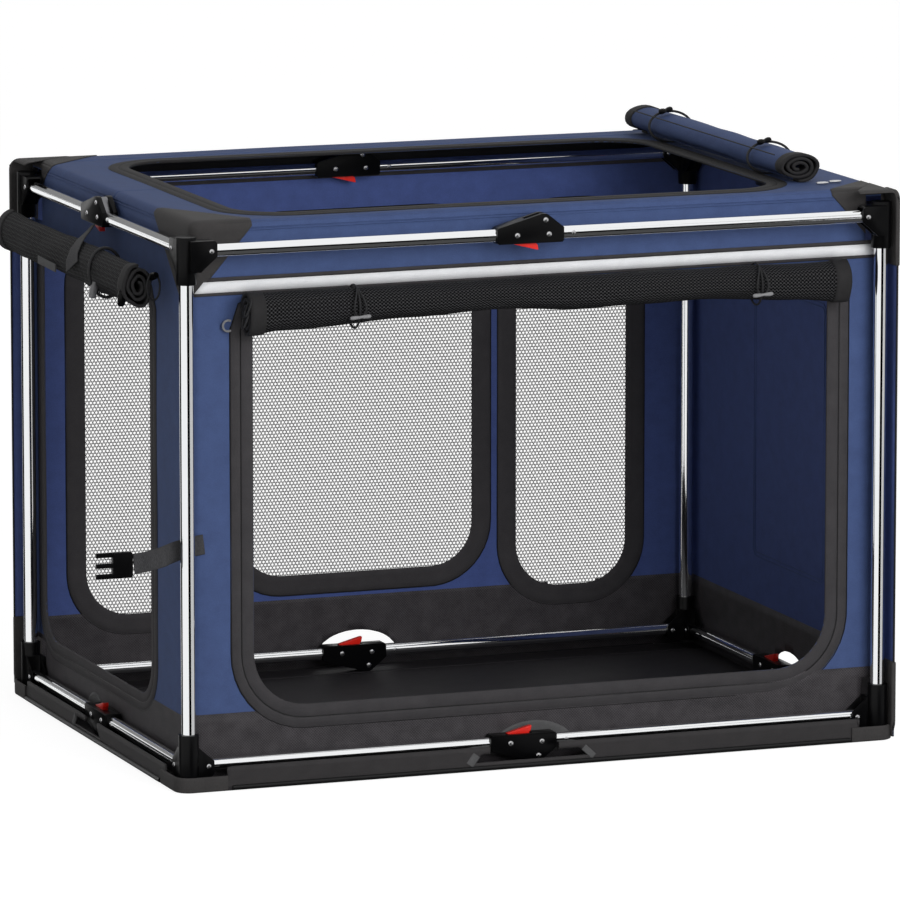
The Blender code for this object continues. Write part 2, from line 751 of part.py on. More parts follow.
def lip_outline(start, end, notched_end):
    """Side view of a stretch of the base's lip, slanted beside the lock."""
    slant = LIP_SLANT if notched_end else -LIP_SLANT
    top_start = start - (0 if notched_end else slant)
    top_end = end - (slant if notched_end else 0)
    low = BASE_THICKNESS / 2
    return [(start, low), (end, low), (top_end, LIP_HEIGHT), (top_start, LIP_HEIGHT)]


def add_base(look):
    """Base sheet with the lip that fills the space below the front and left rails."""
    slab = box_mesh(
        "base",
        (BASE_EDGE_LEFT, BASE_EDGE_FRONT, 0),
        (BASE_EDGE_RIGHT, BASE_EDGE_BACK, BASE_THICKNESS),
    )
    lips = []
    for half, low, inner, axis in (
        (HALF_X, BASE_EDGE_FRONT, WALL_FRONT - GAP, "Y"),
        (HALF_Y, BASE_EDGE_LEFT, WALL_LEFT - GAP, "X"),
    ):
        before = lip_outline(-half + LIP_END, -LIP_NOTCH, True)
        after = lip_outline(LIP_NOTCH, half - LIP_END, False)
        lips += [prism_mesh("lip", spots, low, inner, axis) for spots in (before, after)]
    add_object("base", combine("base", slab, lips, []), look)


# Rolled doors and roof flap


def spiral_outline(half_width, half_height, sheet, first_angle):
    """Outline of a rolled sheet seen from its end, round (0, 0).

    The sheet's outer end is at first_angle, where the roll touches what carries it.
    """
    pitch_share = 1 / (ROLL_TURNS + 1)
    count = ROLL_TURNS * ROLL_STEPS
    outer, inner = [], []
    for k in range(count + 1):
        angle = first_angle + 2 * pi * k / ROLL_STEPS
        share = 1 - pitch_share * k / ROLL_STEPS
        along, up = cos(angle), sin(angle)
        outer.append((half_width * share * along, half_height * share * up))
        thin_width = half_width * share - sheet
        thin_height = half_height * share - sheet
        inner.append((thin_width * along, thin_height * up))
    return outer + inner[::-1]


def add_front_roll(look):
    """Front door rolled up above its doorway."""
    half_depth, half_height = FRONT_ROLL_DEPTH / 2, FRONT_ROLL_HEIGHT / 2
    outline = spiral_outline(half_depth, half_height, ROLL_SHEET, 0)
    centre = (0, WALL_FRONT - GAP - half_depth, FRONT_ROLL_TOP - half_height)
    start = WALL_LEFT + FRONT_ROLL_INSET
    end = WALL_RIGHT - FRONT_ROLL_INSET
    add_object("roll_front", prism_mesh("roll_front", outline, start, end, "X"), look, centre)


def add_left_roll(look):
    """Left door rolled up beside the frame, with the sheet that it hangs from."""
    half_width, half_height = LEFT_ROLL_WIDTH / 2, LEFT_ROLL_HEIGHT / 2
    centre_x = -HALF_X - POST_RADIUS - LEFT_ROLL_CLEARANCE - half_width
    centre = (centre_x, 0, LEFT_ROLL_TOP - half_height)
    start = -HALF_Y + LEFT_ROLL_FRONT
    end = HALF_Y - SOCKET_RADIUS - LEFT_ROLL_BACK
    outline = spiral_outline(half_width, half_height, ROLL_SHEET, pi / 2)
    roll = prism_mesh("roll_left", outline, start, end, "Y")
    sheet = box_mesh(
        "sheet",
        (-OVERRUN, start, half_height - ROLL_SHEET),
        (WALL_LEFT - GAP - centre_x, end, half_height - GAP),
    )
    add_object("roll_left", combine("roll_left", roll, [sheet], []), look, centre)


def add_roof_roll(look):
    """Roof flap rolled up on the right-hand side of the roof."""
    half_width, half_height = ROOF_ROLL_WIDTH / 2, ROOF_ROLL_HEIGHT / 2
    centre_x = WALL_RIGHT - ROOF_RIGHT_MARGIN + ROOF_ROLL_GAP + half_width
    centre = (centre_x, 0, ROOF_HIGH + GAP + half_height)
    start = WALL_FRONT + ROOF_ROLL_FRONT
    end = WALL_BACK - ROOF_ROLL_BACK
    outline = spiral_outline(half_width, half_height, ROLL_SHEET, -pi / 2)
    add_object("roll_roof", prism_mesh("roll_roof", outline, start, end, "Y"), look, centre)


# Loose strap


def add_strap(strap_look, buckle_look):
    """Webbing strap beside the front left post, with the pronged buckle half."""
    plane = WALL_FRONT - GAP - STRAP_THICKNESS
    half = STRAP_WIDTH / 2
    low = STRAP_HEIGHT - STRAP_SAG
    start, bend, end = WALL_LEFT + STRAP_SEWN, -HALF_X - STRAP_BEND, -HALF_X - STRAP_END
    outline = [
        (start, STRAP_HEIGHT + half),
        (bend, low + half),
        (end, low + half),
        (end, low - half),
        (bend, low - half),
        (start, STRAP_HEIGHT - half),
    ]
    strap = prism_mesh("strap", outline, plane, plane + STRAP_THICKNESS, "Y")
    add_object("strap", strap, strap_look)
    buckle_end = end - GAP
    tip = buckle_end - BUCKLE_LENGTH
    middle = plane + STRAP_THICKNESS / 2
    thick = BUCKLE_THICKNESS / 2
    wide = BUCKLE_WIDTH / 2
    body = prism_mesh(
        "buckle",
        rounded_rectangle((tip, low - wide), (buckle_end, low + wide), BUCKLE_CORNER),
        middle - thick,
        middle + thick,
        "Y",
    )
    prongs = []
    for place in (wide - PRONG_WIDTH, -PRONG_WIDTH / 2, -wide):
        bottom = low + place
        prongs.append(
            box_mesh(
                "prong",
                (tip - PRONG_LENGTH, middle - PRONG_THICKNESS / 2, bottom),
                (tip + OVERRUN, middle + PRONG_THICKNESS / 2, bottom + PRONG_WIDTH),
            )
        )
    add_object("buckle", combine("buckle", body, prongs, []), buckle_look)


clear_scene()

chrome = material("chrome_tube", (0.82, 0.83, 0.85), 0.12, 1)
black = material("black_plastic", (0.012, 0.012, 0.013), 0.25, 0)
red = material("red_plastic", (0.6, 0.02, 0.01), 0.35, 0)
navy = material("navy_fabric", (0.035, 0.06, 0.16), 0.85, 0)
grey = material("grey_fabric", (0.035, 0.034, 0.036), 0.85, 0)
net = material("black_net", (0.02, 0.02, 0.02), 0.8, 0)
web = material("black_webbing", (0.03, 0.03, 0.03), 0.8, 0)

add_posts(chrome)
add_connectors(black)
add_rails(chrome, black, red)
add_front_wall(navy)
add_left_wall(navy)
add_rear_wall(navy, net)
add_right_wall(navy)
add_roof(navy)
add_base(grey)
add_front_roll(net)
add_left_roll(net)
add_roof_roll(navy)
add_strap(web, black)
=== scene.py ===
import math

import bmesh
import bpy
from mathutils import Matrix, Vector, noise


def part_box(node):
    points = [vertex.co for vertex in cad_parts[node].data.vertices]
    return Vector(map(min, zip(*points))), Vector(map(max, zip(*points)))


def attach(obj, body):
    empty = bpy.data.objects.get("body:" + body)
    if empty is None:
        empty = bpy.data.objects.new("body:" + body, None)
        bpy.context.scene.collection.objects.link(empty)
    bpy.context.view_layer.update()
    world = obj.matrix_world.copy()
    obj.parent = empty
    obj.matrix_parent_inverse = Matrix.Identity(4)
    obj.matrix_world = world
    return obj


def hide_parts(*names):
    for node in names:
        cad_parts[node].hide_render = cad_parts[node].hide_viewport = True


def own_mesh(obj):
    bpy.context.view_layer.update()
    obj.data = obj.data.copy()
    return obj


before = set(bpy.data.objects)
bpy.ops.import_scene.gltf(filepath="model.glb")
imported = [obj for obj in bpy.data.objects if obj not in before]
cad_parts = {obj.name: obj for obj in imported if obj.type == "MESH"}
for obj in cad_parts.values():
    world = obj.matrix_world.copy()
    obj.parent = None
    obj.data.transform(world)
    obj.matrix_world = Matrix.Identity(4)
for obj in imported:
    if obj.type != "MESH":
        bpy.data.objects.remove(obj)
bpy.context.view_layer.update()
MM = 0.001

# Camera and studio
# The photograph was taken with a long lens from the front left, about 20 degrees round and 10 degrees up,
# on white.
# Flags and cards that only mirrors show stand round the crate, and give the tubes their dark and pale lines.

AZIMUTH, ELEVATION, DISTANCE = 0.35745, 0.16729, 9.7141
LENS = 317.59
TARGET = Vector((0.0024846, 0, 0.3320971))


def direction(azimuth, elevation):
    """Unit vector from the crate towards that side, azimuth 0 being the front."""
    flat = math.cos(elevation)
    return Vector((-math.sin(azimuth) * flat, -math.cos(azimuth) * flat, math.sin(elevation)))


camera_data = bpy.data.cameras.new("camera")
camera_data.lens, camera_data.sensor_width, camera_data.clip_end = LENS, 36, 200
camera = bpy.data.objects.new("camera", camera_data)
bpy.context.collection.objects.link(camera)
back = direction(AZIMUTH, ELEVATION)
camera.location = TARGET + back * DISTANCE
camera.rotation_euler = back.to_track_quat("Z", "Y").to_euler()
bpy.context.scene.camera = camera
bpy.context.scene.view_settings.view_transform = "Standard"


class Look:
    """A material whose nodes are added one call at a time."""

    def __init__(self, name, color, roughness, metallic=0.0, **sockets):
        self.material = bpy.data.materials.new(name)
        self.material.use_nodes = True
        self.tree = self.material.node_tree
        self.shader = self.tree.nodes["Principled BSDF"]
        self.set("Base Color", (*color, 1))
        self.set("Roughness", roughness)
        self.set("Metallic", metallic)
        for socket, value in sockets.items():
            self.set(socket.replace("_", " "), value)
        self.height = None

    def set(self, socket, value):
        self.shader.inputs[socket].default_value = value

    def node(self, kind, inputs=(), **values):
        """Adds a node. Inputs are (socket, value or (node, output)) pairs."""
        node = self.tree.nodes.new("ShaderNode" + kind)
        for key, value in values.items():
            setattr(node, key, value)
        for socket, value in inputs:
            if isinstance(value, tuple) and isinstance(value[0], bpy.types.Node):
                self.tree.links.new(value[0].outputs[value[1]], node.inputs[socket])
            else:
                node.inputs[socket].default_value = value
        return node

    def math(self, operation, *values):
        return (self.node("Math", list(enumerate(values)), operation=operation), 0)

    def feed(self, socket, source):
        self.tree.links.new(source[0].outputs[source[1]], self.shader.inputs[socket])

    def bump(self, source, distance, strength=1.0):
        """Lays another bump over the last one."""
        inputs = [("Height", source), ("Distance", distance), ("Strength", strength)]
        if self.height:
            inputs.append(("Normal", (self.height, 0)))
        self.height = self.node("Bump", inputs)
        self.feed("Normal", (self.height, 0))

    def tint(self, factor, low, high):
        """Colour from low to high by factor."""
        ramp = self.node("ValToRGB", [("Fac", factor)])
        ramp.color_ramp.elements[0].color = (*low, 1)
        ramp.color_ramp.elements[1].color = (*high, 1)
        self.feed("Base Color", (ramp, 0))
        return ramp

    def spread(self, factor, low, high):
        """Roughness from low to high by factor."""
        ranged = self.node("MapRange", [("Value", factor), ("To Min", low), ("To Max", high)])
        self.feed("Roughness", (ranged, 0))


def srgb(red, green, blue):
    """Linear colour of an 8-bit screen colour."""
    return tuple((c / 255 / 12.92 if c <= 10 else ((c / 255 + 0.055) / 1.055) ** 2.4)
                 for c in (red, green, blue))


def add_stage(name, mesh, material):
    """A floor, wall or flag of the studio."""
    thing = bpy.data.objects.new(name, mesh)
    thing.data.materials.append(material)
    bpy.context.collection.objects.link(thing)
    return thing


def plate_mesh(name, width, length, place):
    """Flat plate of the studio."""
    bm = bmesh.new()
    bmesh.ops.create_grid(bm, x_segments=8, y_segments=8, size=0.5)
    bmesh.ops.scale(bm, vec=(width, length, 1), verts=bm.verts)
    bmesh.ops.transform(bm, matrix=place, verts=bm.verts)
    mesh = bpy.data.meshes.new(name)
    bm.to_mesh(mesh)
    bm.free()
    return mesh


def shown_to(tree, outputs):
    """1 for the rays of those kinds, else 0."""
    path = tree.nodes.new("ShaderNodeLightPath")
    total = path.outputs[outputs[0]]
    for output in outputs[1:]:
        add = tree.nodes.new("ShaderNodeMath")
        add.operation = "MAXIMUM"
        tree.links.new(total, add.inputs[0])
        tree.links.new(path.outputs[output], add.inputs[1])
        total = add.outputs[0]
    return total


SEEN = ("Is Camera Ray", "Is Glossy Ray", "Is Transmission Ray")
FLOOR_GLOW, FLOOR_SHARE, ROOM_LIGHT = 1.25, 0.72, 0.36

floor_look = Look("pale_floor", (0.88, 0.88, 0.88), 0.9)
floor_tree = floor_look.tree
floor_glow = floor_tree.nodes.new("ShaderNodeEmission")
floor_mix = floor_tree.nodes.new("ShaderNodeMixShader")
floor_share = floor_tree.nodes.new("ShaderNodeMath")
floor_share.operation = "MULTIPLY"
floor_share.inputs[1].default_value = FLOOR_SHARE
floor_glow.inputs["Strength"].default_value = FLOOR_GLOW
floor_tree.links.new(shown_to(floor_tree, SEEN), floor_share.inputs[0])
floor_tree.links.new(floor_share.outputs[0], floor_mix.inputs[0])
floor_tree.links.new(floor_look.shader.outputs[0], floor_mix.inputs[1])
floor_tree.links.new(floor_glow.outputs[0], floor_mix.inputs[2])
floor_tree.links.new(floor_mix.outputs[0], floor_tree.nodes["Material Output"].inputs["Surface"])
studio_floor = add_stage(
    "studio_floor", plate_mesh("studio_floor", 80, 80, Matrix.Translation((0, 0, -1 * MM))),
    floor_look.material
)
studio_floor.visible_glossy = False

world = bpy.data.worlds.new("studio")
bpy.context.scene.world = world
world.use_nodes = True
world_tree = world.node_tree
room = world_tree.nodes["Background"]
room.inputs["Color"].default_value = (1, 1, 1, 1)
room.inputs["Strength"].default_value = ROOM_LIGHT
backdrop = world_tree.nodes.new("ShaderNodeBackground")
backdrop.inputs["Color"].default_value = (1, 1, 1, 1)
world_mix = world_tree.nodes.new("ShaderNodeMixShader")
world_tree.links.new(shown_to(world_tree, SEEN), world_mix.inputs[0])
world_tree.links.new(room.outputs[0], world_mix.inputs[1])
world_tree.links.new(backdrop.outputs[0], world_mix.inputs[2])
world_tree.links.new(world_mix.outputs[0], world_tree.nodes["World Output"].inputs["Surface"])


def add_softbox(name, azimuth, elevation, distance, size, power):
    """Large soft lamp that shines on the crate."""
    lamp = bpy.data.lights.new(name, "AREA")
    lamp.shape, lamp.size, lamp.energy = "DISK", size, power
    holder = bpy.data.objects.new(name, lamp)
    holder.location = TARGET + direction(azimuth, elevation) * distance
    holder.rotation_euler = direction(azimuth, elevation).to_track_quat("Z", "Y").to_euler()
    bpy.context.collection.objects.link(holder)
    holder.visible_glossy = False


add_softbox("softbox_front", -0.15, 0.36, 4.0, 2.4, 108)
add_softbox("softbox_above", -0.5, 1.35, 3.6, 2.4, 5)


def add_mirrored(name, mesh, glow):
    """Part of the studio that only mirrors show, as bright as glow."""
    look = Look(name, (0, 0, 0), 1.0, Specular_IOR_Level=0.0)
    look.set("Emission Color", (glow, glow, glow, 1))
    look.set("Emission Strength", 1.0)
    thing = add_stage(name, mesh, look.material)
    thing.visible_camera = thing.visible_diffuse = thing.visible_shadow = thing.visible_transmission = False


def add_card(name, glow, azimuth, half_width, low_edge, high_edge, reach=7.0):
    """Upright card that only mirrors show, between two slopes seen from the crate."""
    outward = direction(azimuth, 0)
    middle = outward * reach + Vector((0, 0, reach * (low_edge + high_edge) / 2 + TARGET.z))
    turned = Matrix.Translation(middle) @ outward.to_track_quat("Z", "Y").to_matrix().to_4x4()
    width = 2 * reach * math.tan(half_width)
    add_mirrored(name, plate_mesh(name, width, reach * (high_edge - low_edge), turned), glow)


MIRRORED_FLOOR = 0.07
add_card("flag_right", 0.003, -0.12, 0.33, -0.36, 0.11)
add_card("flag_left", 0.003, 2.34, 0.38, -0.36, 0.11)
add_card("card_right", 0.60, -1.25, 0.75, -0.36, 1.2, 9.0)
for turn in range(6):
    add_card(f"floor_card_{turn}", MIRRORED_FLOOR, turn * math.pi / 3, 0.56, -2.5, -0.36, 7.4)
add_card("flag_rear", 0.01, math.pi - 0.05, 0.33, 0.10, 0.16)
add_card("card_rear", 0.24, math.pi - 0.02, 0.42, 0.18, 0.46)
add_card("card_rear_low", 0.30, math.pi - 0.02, 0.36, -0.35, -0.24)
add_mirrored("floor_pit", plate_mesh("floor_pit", 15, 15, Matrix.Translation((0, 0, -7))), MIRRORED_FLOOR)

# Posts and rails
# Chrome-plated steel tube, 17 mm round for the four posts and 15 mm for the rails. The tubes are cut square;
# the posts sit in the corner connectors' sockets and the rails are pinned in their arms and in the locks.

HALF_X, HALF_Y = 440 * MM, 307.75 * MM
RAIL_LOW, RAIL_TOP = 28 * MM, 642 * MM
RAIL_OFFSET = 10.1 * MM
POST_RADIUS, RAIL_RADIUS, TUBE_WALL, TUBE_SIDES = 8.5 * MM, 7.5 * MM, 1 * MM, 48
ARM_PIVOT, TUBE_TAIL, TUBE_STOP, TONGUE_STOP = 25 * MM, 6 * MM, 30 * MM, 24.6 * MM

chrome = Look("chrome_tube", (0.86, 0.87, 0.88), 0.05, 1.0)
drawn = chrome.node("TexNoise", [("Scale", 900.0), ("Detail", 3.0)])
chrome.spread((drawn, 0), 0.035, 0.09)
chrome.bump((drawn, 0), 0.00001, 0.4)


def add_piece(name, bm, look, body, nodes=(), smooth=30):
    """Makes a piece of a bmesh that rides on a body and stands for those nodes."""
    mesh = bpy.data.meshes.new(name)
    bm.to_mesh(mesh)
    bm.free()
    for one in look if isinstance(look, (list, tuple)) else [look]:
        mesh.materials.append(one.material)
    mesh.shade_smooth()
    mesh.set_sharp_from_angle(angle=math.radians(smooth))
    made = bpy.data.objects.new(name, mesh)
    bpy.context.collection.objects.link(made)
    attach(made, body)
    if nodes:
        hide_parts(*nodes)
    return made


def tube_bmesh(start, end, radius):
    """Open tube between two points, with its wall's thickness at the ends."""
    start, end = Vector(start), Vector(end)
    turned = (end - start).to_track_quat("Z", "Y").to_matrix().to_4x4()
    bm = bmesh.new()
    bmesh.ops.create_circle(bm, segments=TUBE_SIDES, radius=radius, matrix=Matrix.Translation(start) @ turned)
    pulled = bmesh.ops.extrude_edge_only(bm, edges=bm.edges[:])["geom"]
    bmesh.ops.translate(bm, verts=[v for v in pulled if isinstance(v, bmesh.types.BMVert)], vec=end - start)
    side = [face for face in pulled if isinstance(face, bmesh.types.BMFace)]
    bmesh.ops.recalc_face_normals(bm, faces=side)
    if (side[0].calc_center_median() - (start + end) / 2).dot(side[0].normal) < 0:
        bmesh.ops.reverse_faces(bm, faces=side)
    bmesh.ops.solidify(bm, geom=side, thickness=TUBE_WALL)
    return bm


CORNERS = {"rear_left": (-1, 1), "front_left": (-1, -1), "rear_right": (1, 1), "front_right": (1, -1)}
for corner, (sx, sy) in CORNERS.items():
    node = "post_" + corner
    low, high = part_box(node)
    centre = (sx * HALF_X, sy * HALF_Y)
    bm = tube_bmesh((*centre, low[2]), (*centre, high[2]), POST_RADIUS)
    add_piece("tube_" + corner, bm, chrome, corner, [node])


def rail_frame(level, side):
    """Matrix from a rail's own frame (along the rail, across it, up from its axis to the lock's hinge)."""
    up = 1 if level == "top" else -1
    height = RAIL_TOP if level == "top" else RAIL_LOW
    if side in ("front", "rear"):
        sy = -1 if side == "front" else 1
        spot, angle = (0, sy * (HALF_Y + up * RAIL_OFFSET), height), 0
    else:
        sx = -1 if side == "left" else 1
        spot, angle = (sx * HALF_X, 0, height), -math.pi / 2
    return Matrix.Translation(spot) @ Matrix.Rotation(angle, 4, "Z") @ Matrix.Diagonal((1, 1, up, 1))


RAILS = [(level, side) for level in ("top", "bottom") for side in ("front", "rear", "left", "right")]
HALVES = {"front": ("left", "right"), "rear": ("left", "right"), "left": ("rear", "front"),
          "right": ("rear", "front")}
# The tongues' steel is much darker than bare steel: painted shade for the gap between the lock housing's
# cheeks.
TONGUE_STEEL_PAINTED_SHADE = (0.20, 0.20, 0.21)
tongue_steel_painted_shade = Look("tongue_steel_painted_shade", TONGUE_STEEL_PAINTED_SHADE, 0.32, 1.0)
rolled = tongue_steel_painted_shade.node("TexNoise", [("Scale", 420.0), ("Detail", 4.0)])
tongue_steel_painted_shade.spread((rolled, 0), 0.26, 0.42)
tongue_steel_painted_shade.bump((rolled, 0), 0.00003, 0.5)


def moulded(node, width, segments=2):
    """Clean copy of a hard node's mesh with rounded edges."""
    bm = bmesh.new()
    bm.from_mesh(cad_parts[node].data)
    bmesh.ops.remove_doubles(bm, verts=bm.verts, dist=0.01 * MM)
    bmesh.ops.dissolve_limit(bm, angle_limit=math.radians(1), verts=bm.verts, edges=bm.edges)
    sharp = [edge for edge in bm.edges if edge.is_manifold and edge.calc_face_angle(0) > math.radians(28)]
    bmesh.ops.bevel(
        bm, geom=sharp, offset=width, segments=segments, profile=0.5, affect="EDGES", clamp_overlap=True,
        material=-1
    )
    return bm


for level, side in RAILS:
    place = rail_frame(level, side)
    half_length = HALF_X if side in ("front", "rear") else HALF_Y
    end = half_length - ARM_PIVOT + TUBE_TAIL
    first, second = HALVES[side]
    for half, start, stop in ((first, -end, -TUBE_STOP), (second, TONGUE_STOP, end)):
        node = f"rail_{level}_{side}_{half}"
        bm = tube_bmesh(place @ Vector((start, 0, 0)), place @ Vector((stop, 0, 0)), RAIL_RADIUS)
        add_piece("tube_" + node, bm, chrome, node, [node])
        if half == second:
            bm = moulded(node, 0.5 * MM)
            cut = place @ Vector((TONGUE_STOP - 0.3 * MM, 0, 0))
            away = (place.to_3x3() @ Vector((1, 0, 0))).normalized()
            everything = [*bm.verts, *bm.edges, *bm.faces]
            bmesh.ops.bisect_plane(bm, geom=everything, plane_co=cut, plane_no=away, clear_outer=True)
            add_piece("tongue_" + node, bm, tongue_steel_painted_shade, node)

# Locks
# Each rail folds at a lock: a glossy black moulded housing on one half, with a chamfered ridge on top, that
# takes the steel tongue of the other half. Domed steel rivets go through both cheeks of the housing.

BLACK = srgb(6, 6, 7)
moulding = Look("black_plastic", BLACK, 0.28, Specular_IOR_Level=0.13)
grain = moulding.node("TexNoise", [("Scale", 350.0), ("Detail", 5.0)])
moulding.spread((grain, 0), 0.20, 0.42)
moulding.bump((grain, 0), 0.00004, 0.5)
rivet_steel = Look("rivet_steel", (0.62, 0.62, 0.63), 0.22, 1.0)
struck = rivet_steel.node("TexNoise", [("Scale", 700.0), ("Detail", 3.0)])
rivet_steel.spread((struck, 0), 0.16, 0.34)
rivet_steel.bump((struck, 0), 0.00003, 0.5)

CHEEK_OUT = 9.8 * MM
LOCK_RIVETS = ((0.7 * MM, 17 * MM), (-35 * MM, 0), (5 * MM, 0))
TUBE_RIVET = 37 * MM


def add_rivet(bm, spot, outward, radius, rise):
    """Domed rivet head, turned about its axis from a half profile."""
    turned = Matrix.Translation(spot) @ Vector(outward).to_track_quat("Z", "Y").to_matrix().to_4x4()
    profile = [
        (radius, -0.4 * MM), (radius, 0.25 * rise), (0.9 * radius, 0.6 * rise), (0.6 * radius, 0.9 * rise),
        (0, rise),
    ]
    known = set(bm.verts)
    verts = [bm.verts.new((x, 0, z)) for x, z in profile]
    edges = [bm.edges.new(pair) for pair in zip(verts, verts[1:])]
    bmesh.ops.spin(
        bm, geom=[*verts, *edges], cent=(0, 0, 0), axis=(0, 0, 1), angle=2 * math.pi, steps=20, use_merge=True
    )
    bmesh.ops.transform(bm, matrix=turned, verts=[vert for vert in bm.verts if vert not in known])


def add_rivets(name, spots, body, radius=3.3 * MM, rise=1.5 * MM):
    """Several rivet heads as one piece: (place, direction out of the surface)."""
    bm = bmesh.new()
    for spot, outward in spots:
        add_rivet(bm, spot, outward, radius, rise)
    bmesh.ops.remove_doubles(bm, verts=bm.verts, dist=0.02 * MM)
    bmesh.ops.recalc_face_normals(bm, faces=bm.faces)
    return add_piece(name, bm, rivet_steel, body)


for level, side in RAILS:
    place = rail_frame(level, side)
    first, second = HALVES[side]
    node, body = f"lock_{level}_{side}", f"rail_{level}_{side}_{first}"
    add_piece("housing_" + node, moulded(node, 0.8 * MM), moulding, body, [node])
    across = (place.to_3x3() @ Vector((0, 1, 0))).normalized()
    spots = []
    for sign in (-1, 1):
        for along, up in LOCK_RIVETS:
            spots.append((place @ Vector((along, sign * CHEEK_OUT, up)), across * sign))
    add_rivets("rivets_" + node, spots, body)
    tube_spots = [(place @ Vector((TUBE_RIVET, sign * RAIL_RADIUS, 0)), across * sign) for sign in (-1, 1)]
    add_rivets(f"rivets_rail_{level}_{side}", tube_spots, f"rail_{level}_{side}_{second}", 2.6 * MM, 1.1 * MM)

# Release levers
# A red moulded lever under each lock, sprung, that frees the tongue when it is pressed.
# It is one smooth plastic moulding with a thick thumb end.

red = Look("red_plastic", srgb(205, 24, 16), 0.32)
specks = red.node("TexNoise", [("Scale", 260.0), ("Detail", 4.0)])
red.tint((specks, 0), srgb(190, 18, 12), srgb(226, 40, 26))
red.spread((specks, 0), 0.24, 0.40)
red.bump((specks, 0), 0.00003, 0.5)
for level, side in RAILS:
    node = f"lever_{level}_{side}"
    add_piece("thumb_" + node, moulded(node, 0.7 * MM, 3), red, node, [node])

# Corner connectors
# Glossy black moulded corner pieces with a socket for the post and two forked arms with gussets
# for the rails.
# Steel rivets pin the rails in the arms.

for level in ("top", "bottom"):
    for corner, (sx, sy) in CORNERS.items():
        up = 1 if level == "top" else -1
        height = RAIL_TOP if level == "top" else RAIL_LOW
        node = f"connector_{level}_{corner}"
        add_piece("corner_" + node, moulded(node, 0.8 * MM), moulding, corner, [node])
        spots = []
        for sign in (-1, 1):
            long_y = sy * HALF_Y + sy * up * RAIL_OFFSET + sign * CHEEK_OUT
            spots.append((Vector((sx * (HALF_X - ARM_PIVOT), long_y, height)), Vector((0, sign, 0))))
            short_x = sx * HALF_X + sign * CHEEK_OUT
            spots.append((Vector((short_x, sy * (HALF_Y - ARM_PIVOT), height)), Vector((sign, 0, 0))))
        add_rivets("rivets_" + node, spots, corner, 3.0 * MM, 1.3 * MM)

# Cloth of the cover
# The cover is coated navy oxford cloth with dark grey reinforcement, bound edges and corded seams.
# Every wall is one layer of cloth, sewn along its edges and cut out for its doorway or windows.

LEFT_X, FRONT_Y, REAR_Y, RIGHT_X, ROOF_Z = -425.8 * MM, -285.65 * MM, 332.45 * MM, 456.3 * MM, 670.5 * MM
WALL_LOW = 3.6 * MM
ROUND = 9 * MM
TOP_SEAM = ROOF_Z - ROUND
CLOTH = 1.2 * MM
CELL = 11 * MM
PIVOT_Y = HALF_Y - ARM_PIVOT
WIDTH_LEFT, DEPTH_LEFT, RIGHT_DEPTH_LEFT = 0.16, 0.188, 0.231


def side_frame(origin, across, up):
    """Matrix of a wall's own frame: across it, up it, and out of it."""
    across, up = Vector(across), Vector(up)
    turned = Matrix((across, up, across.cross(up))).transposed().to_4x4()
    return Matrix.Translation(origin) @ turned


FRONT = side_frame((0, FRONT_Y, 0), (1, 0, 0), (0, 0, 1))
LEFT = side_frame((LEFT_X, 0, 0), (0, -1, 0), (0, 0, 1))
REAR = side_frame((0, REAR_Y, 0), (-1, 0, 0), (0, 0, 1))
RIGHT = side_frame((RIGHT_X, 0, 0), (0, 1, 0), (0, 0, 1))
ROOF = side_frame((0, 0, ROOF_Z), (1, 0, 0), (0, 1, 0))
BASE = side_frame((0, 0, 1.5 * MM), (1, 0, 0), (0, 1, 0))
WALLS = {
    "front": (FRONT, "front_left", "fold_width", WIDTH_LEFT),
    "rear": (REAR, "rear_left", "fold_width", WIDTH_LEFT),
    "left": (LEFT, "rear_left", "fold_depth", DEPTH_LEFT),
    "right": (RIGHT, "rear_right", "fold_depth", RIGHT_DEPTH_LEFT),
}
sewn = {wall: [] for wall in (*WALLS, "roof", "base")}


def woven(name, color, dark, roughness, thread, weave=0.35, dots=0.0):
    """Cloth of plain-woven threads, thread apart in metres, on the piece's own UVs."""
    look = Look(name, color, roughness, Specular_IOR_Level=0.3)
    uv = look.node("UVMap", uv_map="weave")
    parts = look.node("SeparateXYZ", [("Vector", (uv, 0))])
    turn = math.pi / thread
    warp = look.math("SINE", look.math("MULTIPLY", (parts, 0), turn))
    weft = look.math("SINE", look.math("MULTIPLY", (parts, 1), turn))
    checker = look.math("MULTIPLY", warp, weft)
    mottle = look.node("TexNoise",
                       [("Vector", (uv, 0)), ("Scale", 45.0), ("Detail", 6.0), ("Roughness", 0.7)])
    slub = look.node("TexNoise", [("Vector", (uv, 0)), ("Scale", 900.0), ("Detail", 2.0)])
    blend = look.math("ADD", look.math("MULTIPLY", (mottle, 0), 0.5), look.math("MULTIPLY", (slub, 0), 0.5))
    if dots:
        blend = look.math("MULTIPLY_ADD", checker, dots, blend)
    ramp = look.tint(blend, dark, color)
    ramp.color_ramp.elements[0].position, ramp.color_ramp.elements[1].position = 0.34, 0.64
    look.spread(blend, roughness - 0.12, roughness + 0.1)
    look.bump((slub, 0), 0.0002, 0.25)
    look.bump(checker, 0.00012, weave)
    return look


navy = woven("navy_oxford", srgb(66, 83, 124), srgb(54, 68, 105), 0.75, 0.7 * MM)
grey = woven("grey_binding", srgb(62, 60, 62), srgb(48, 47, 49), 0.8, 0.5 * MM)
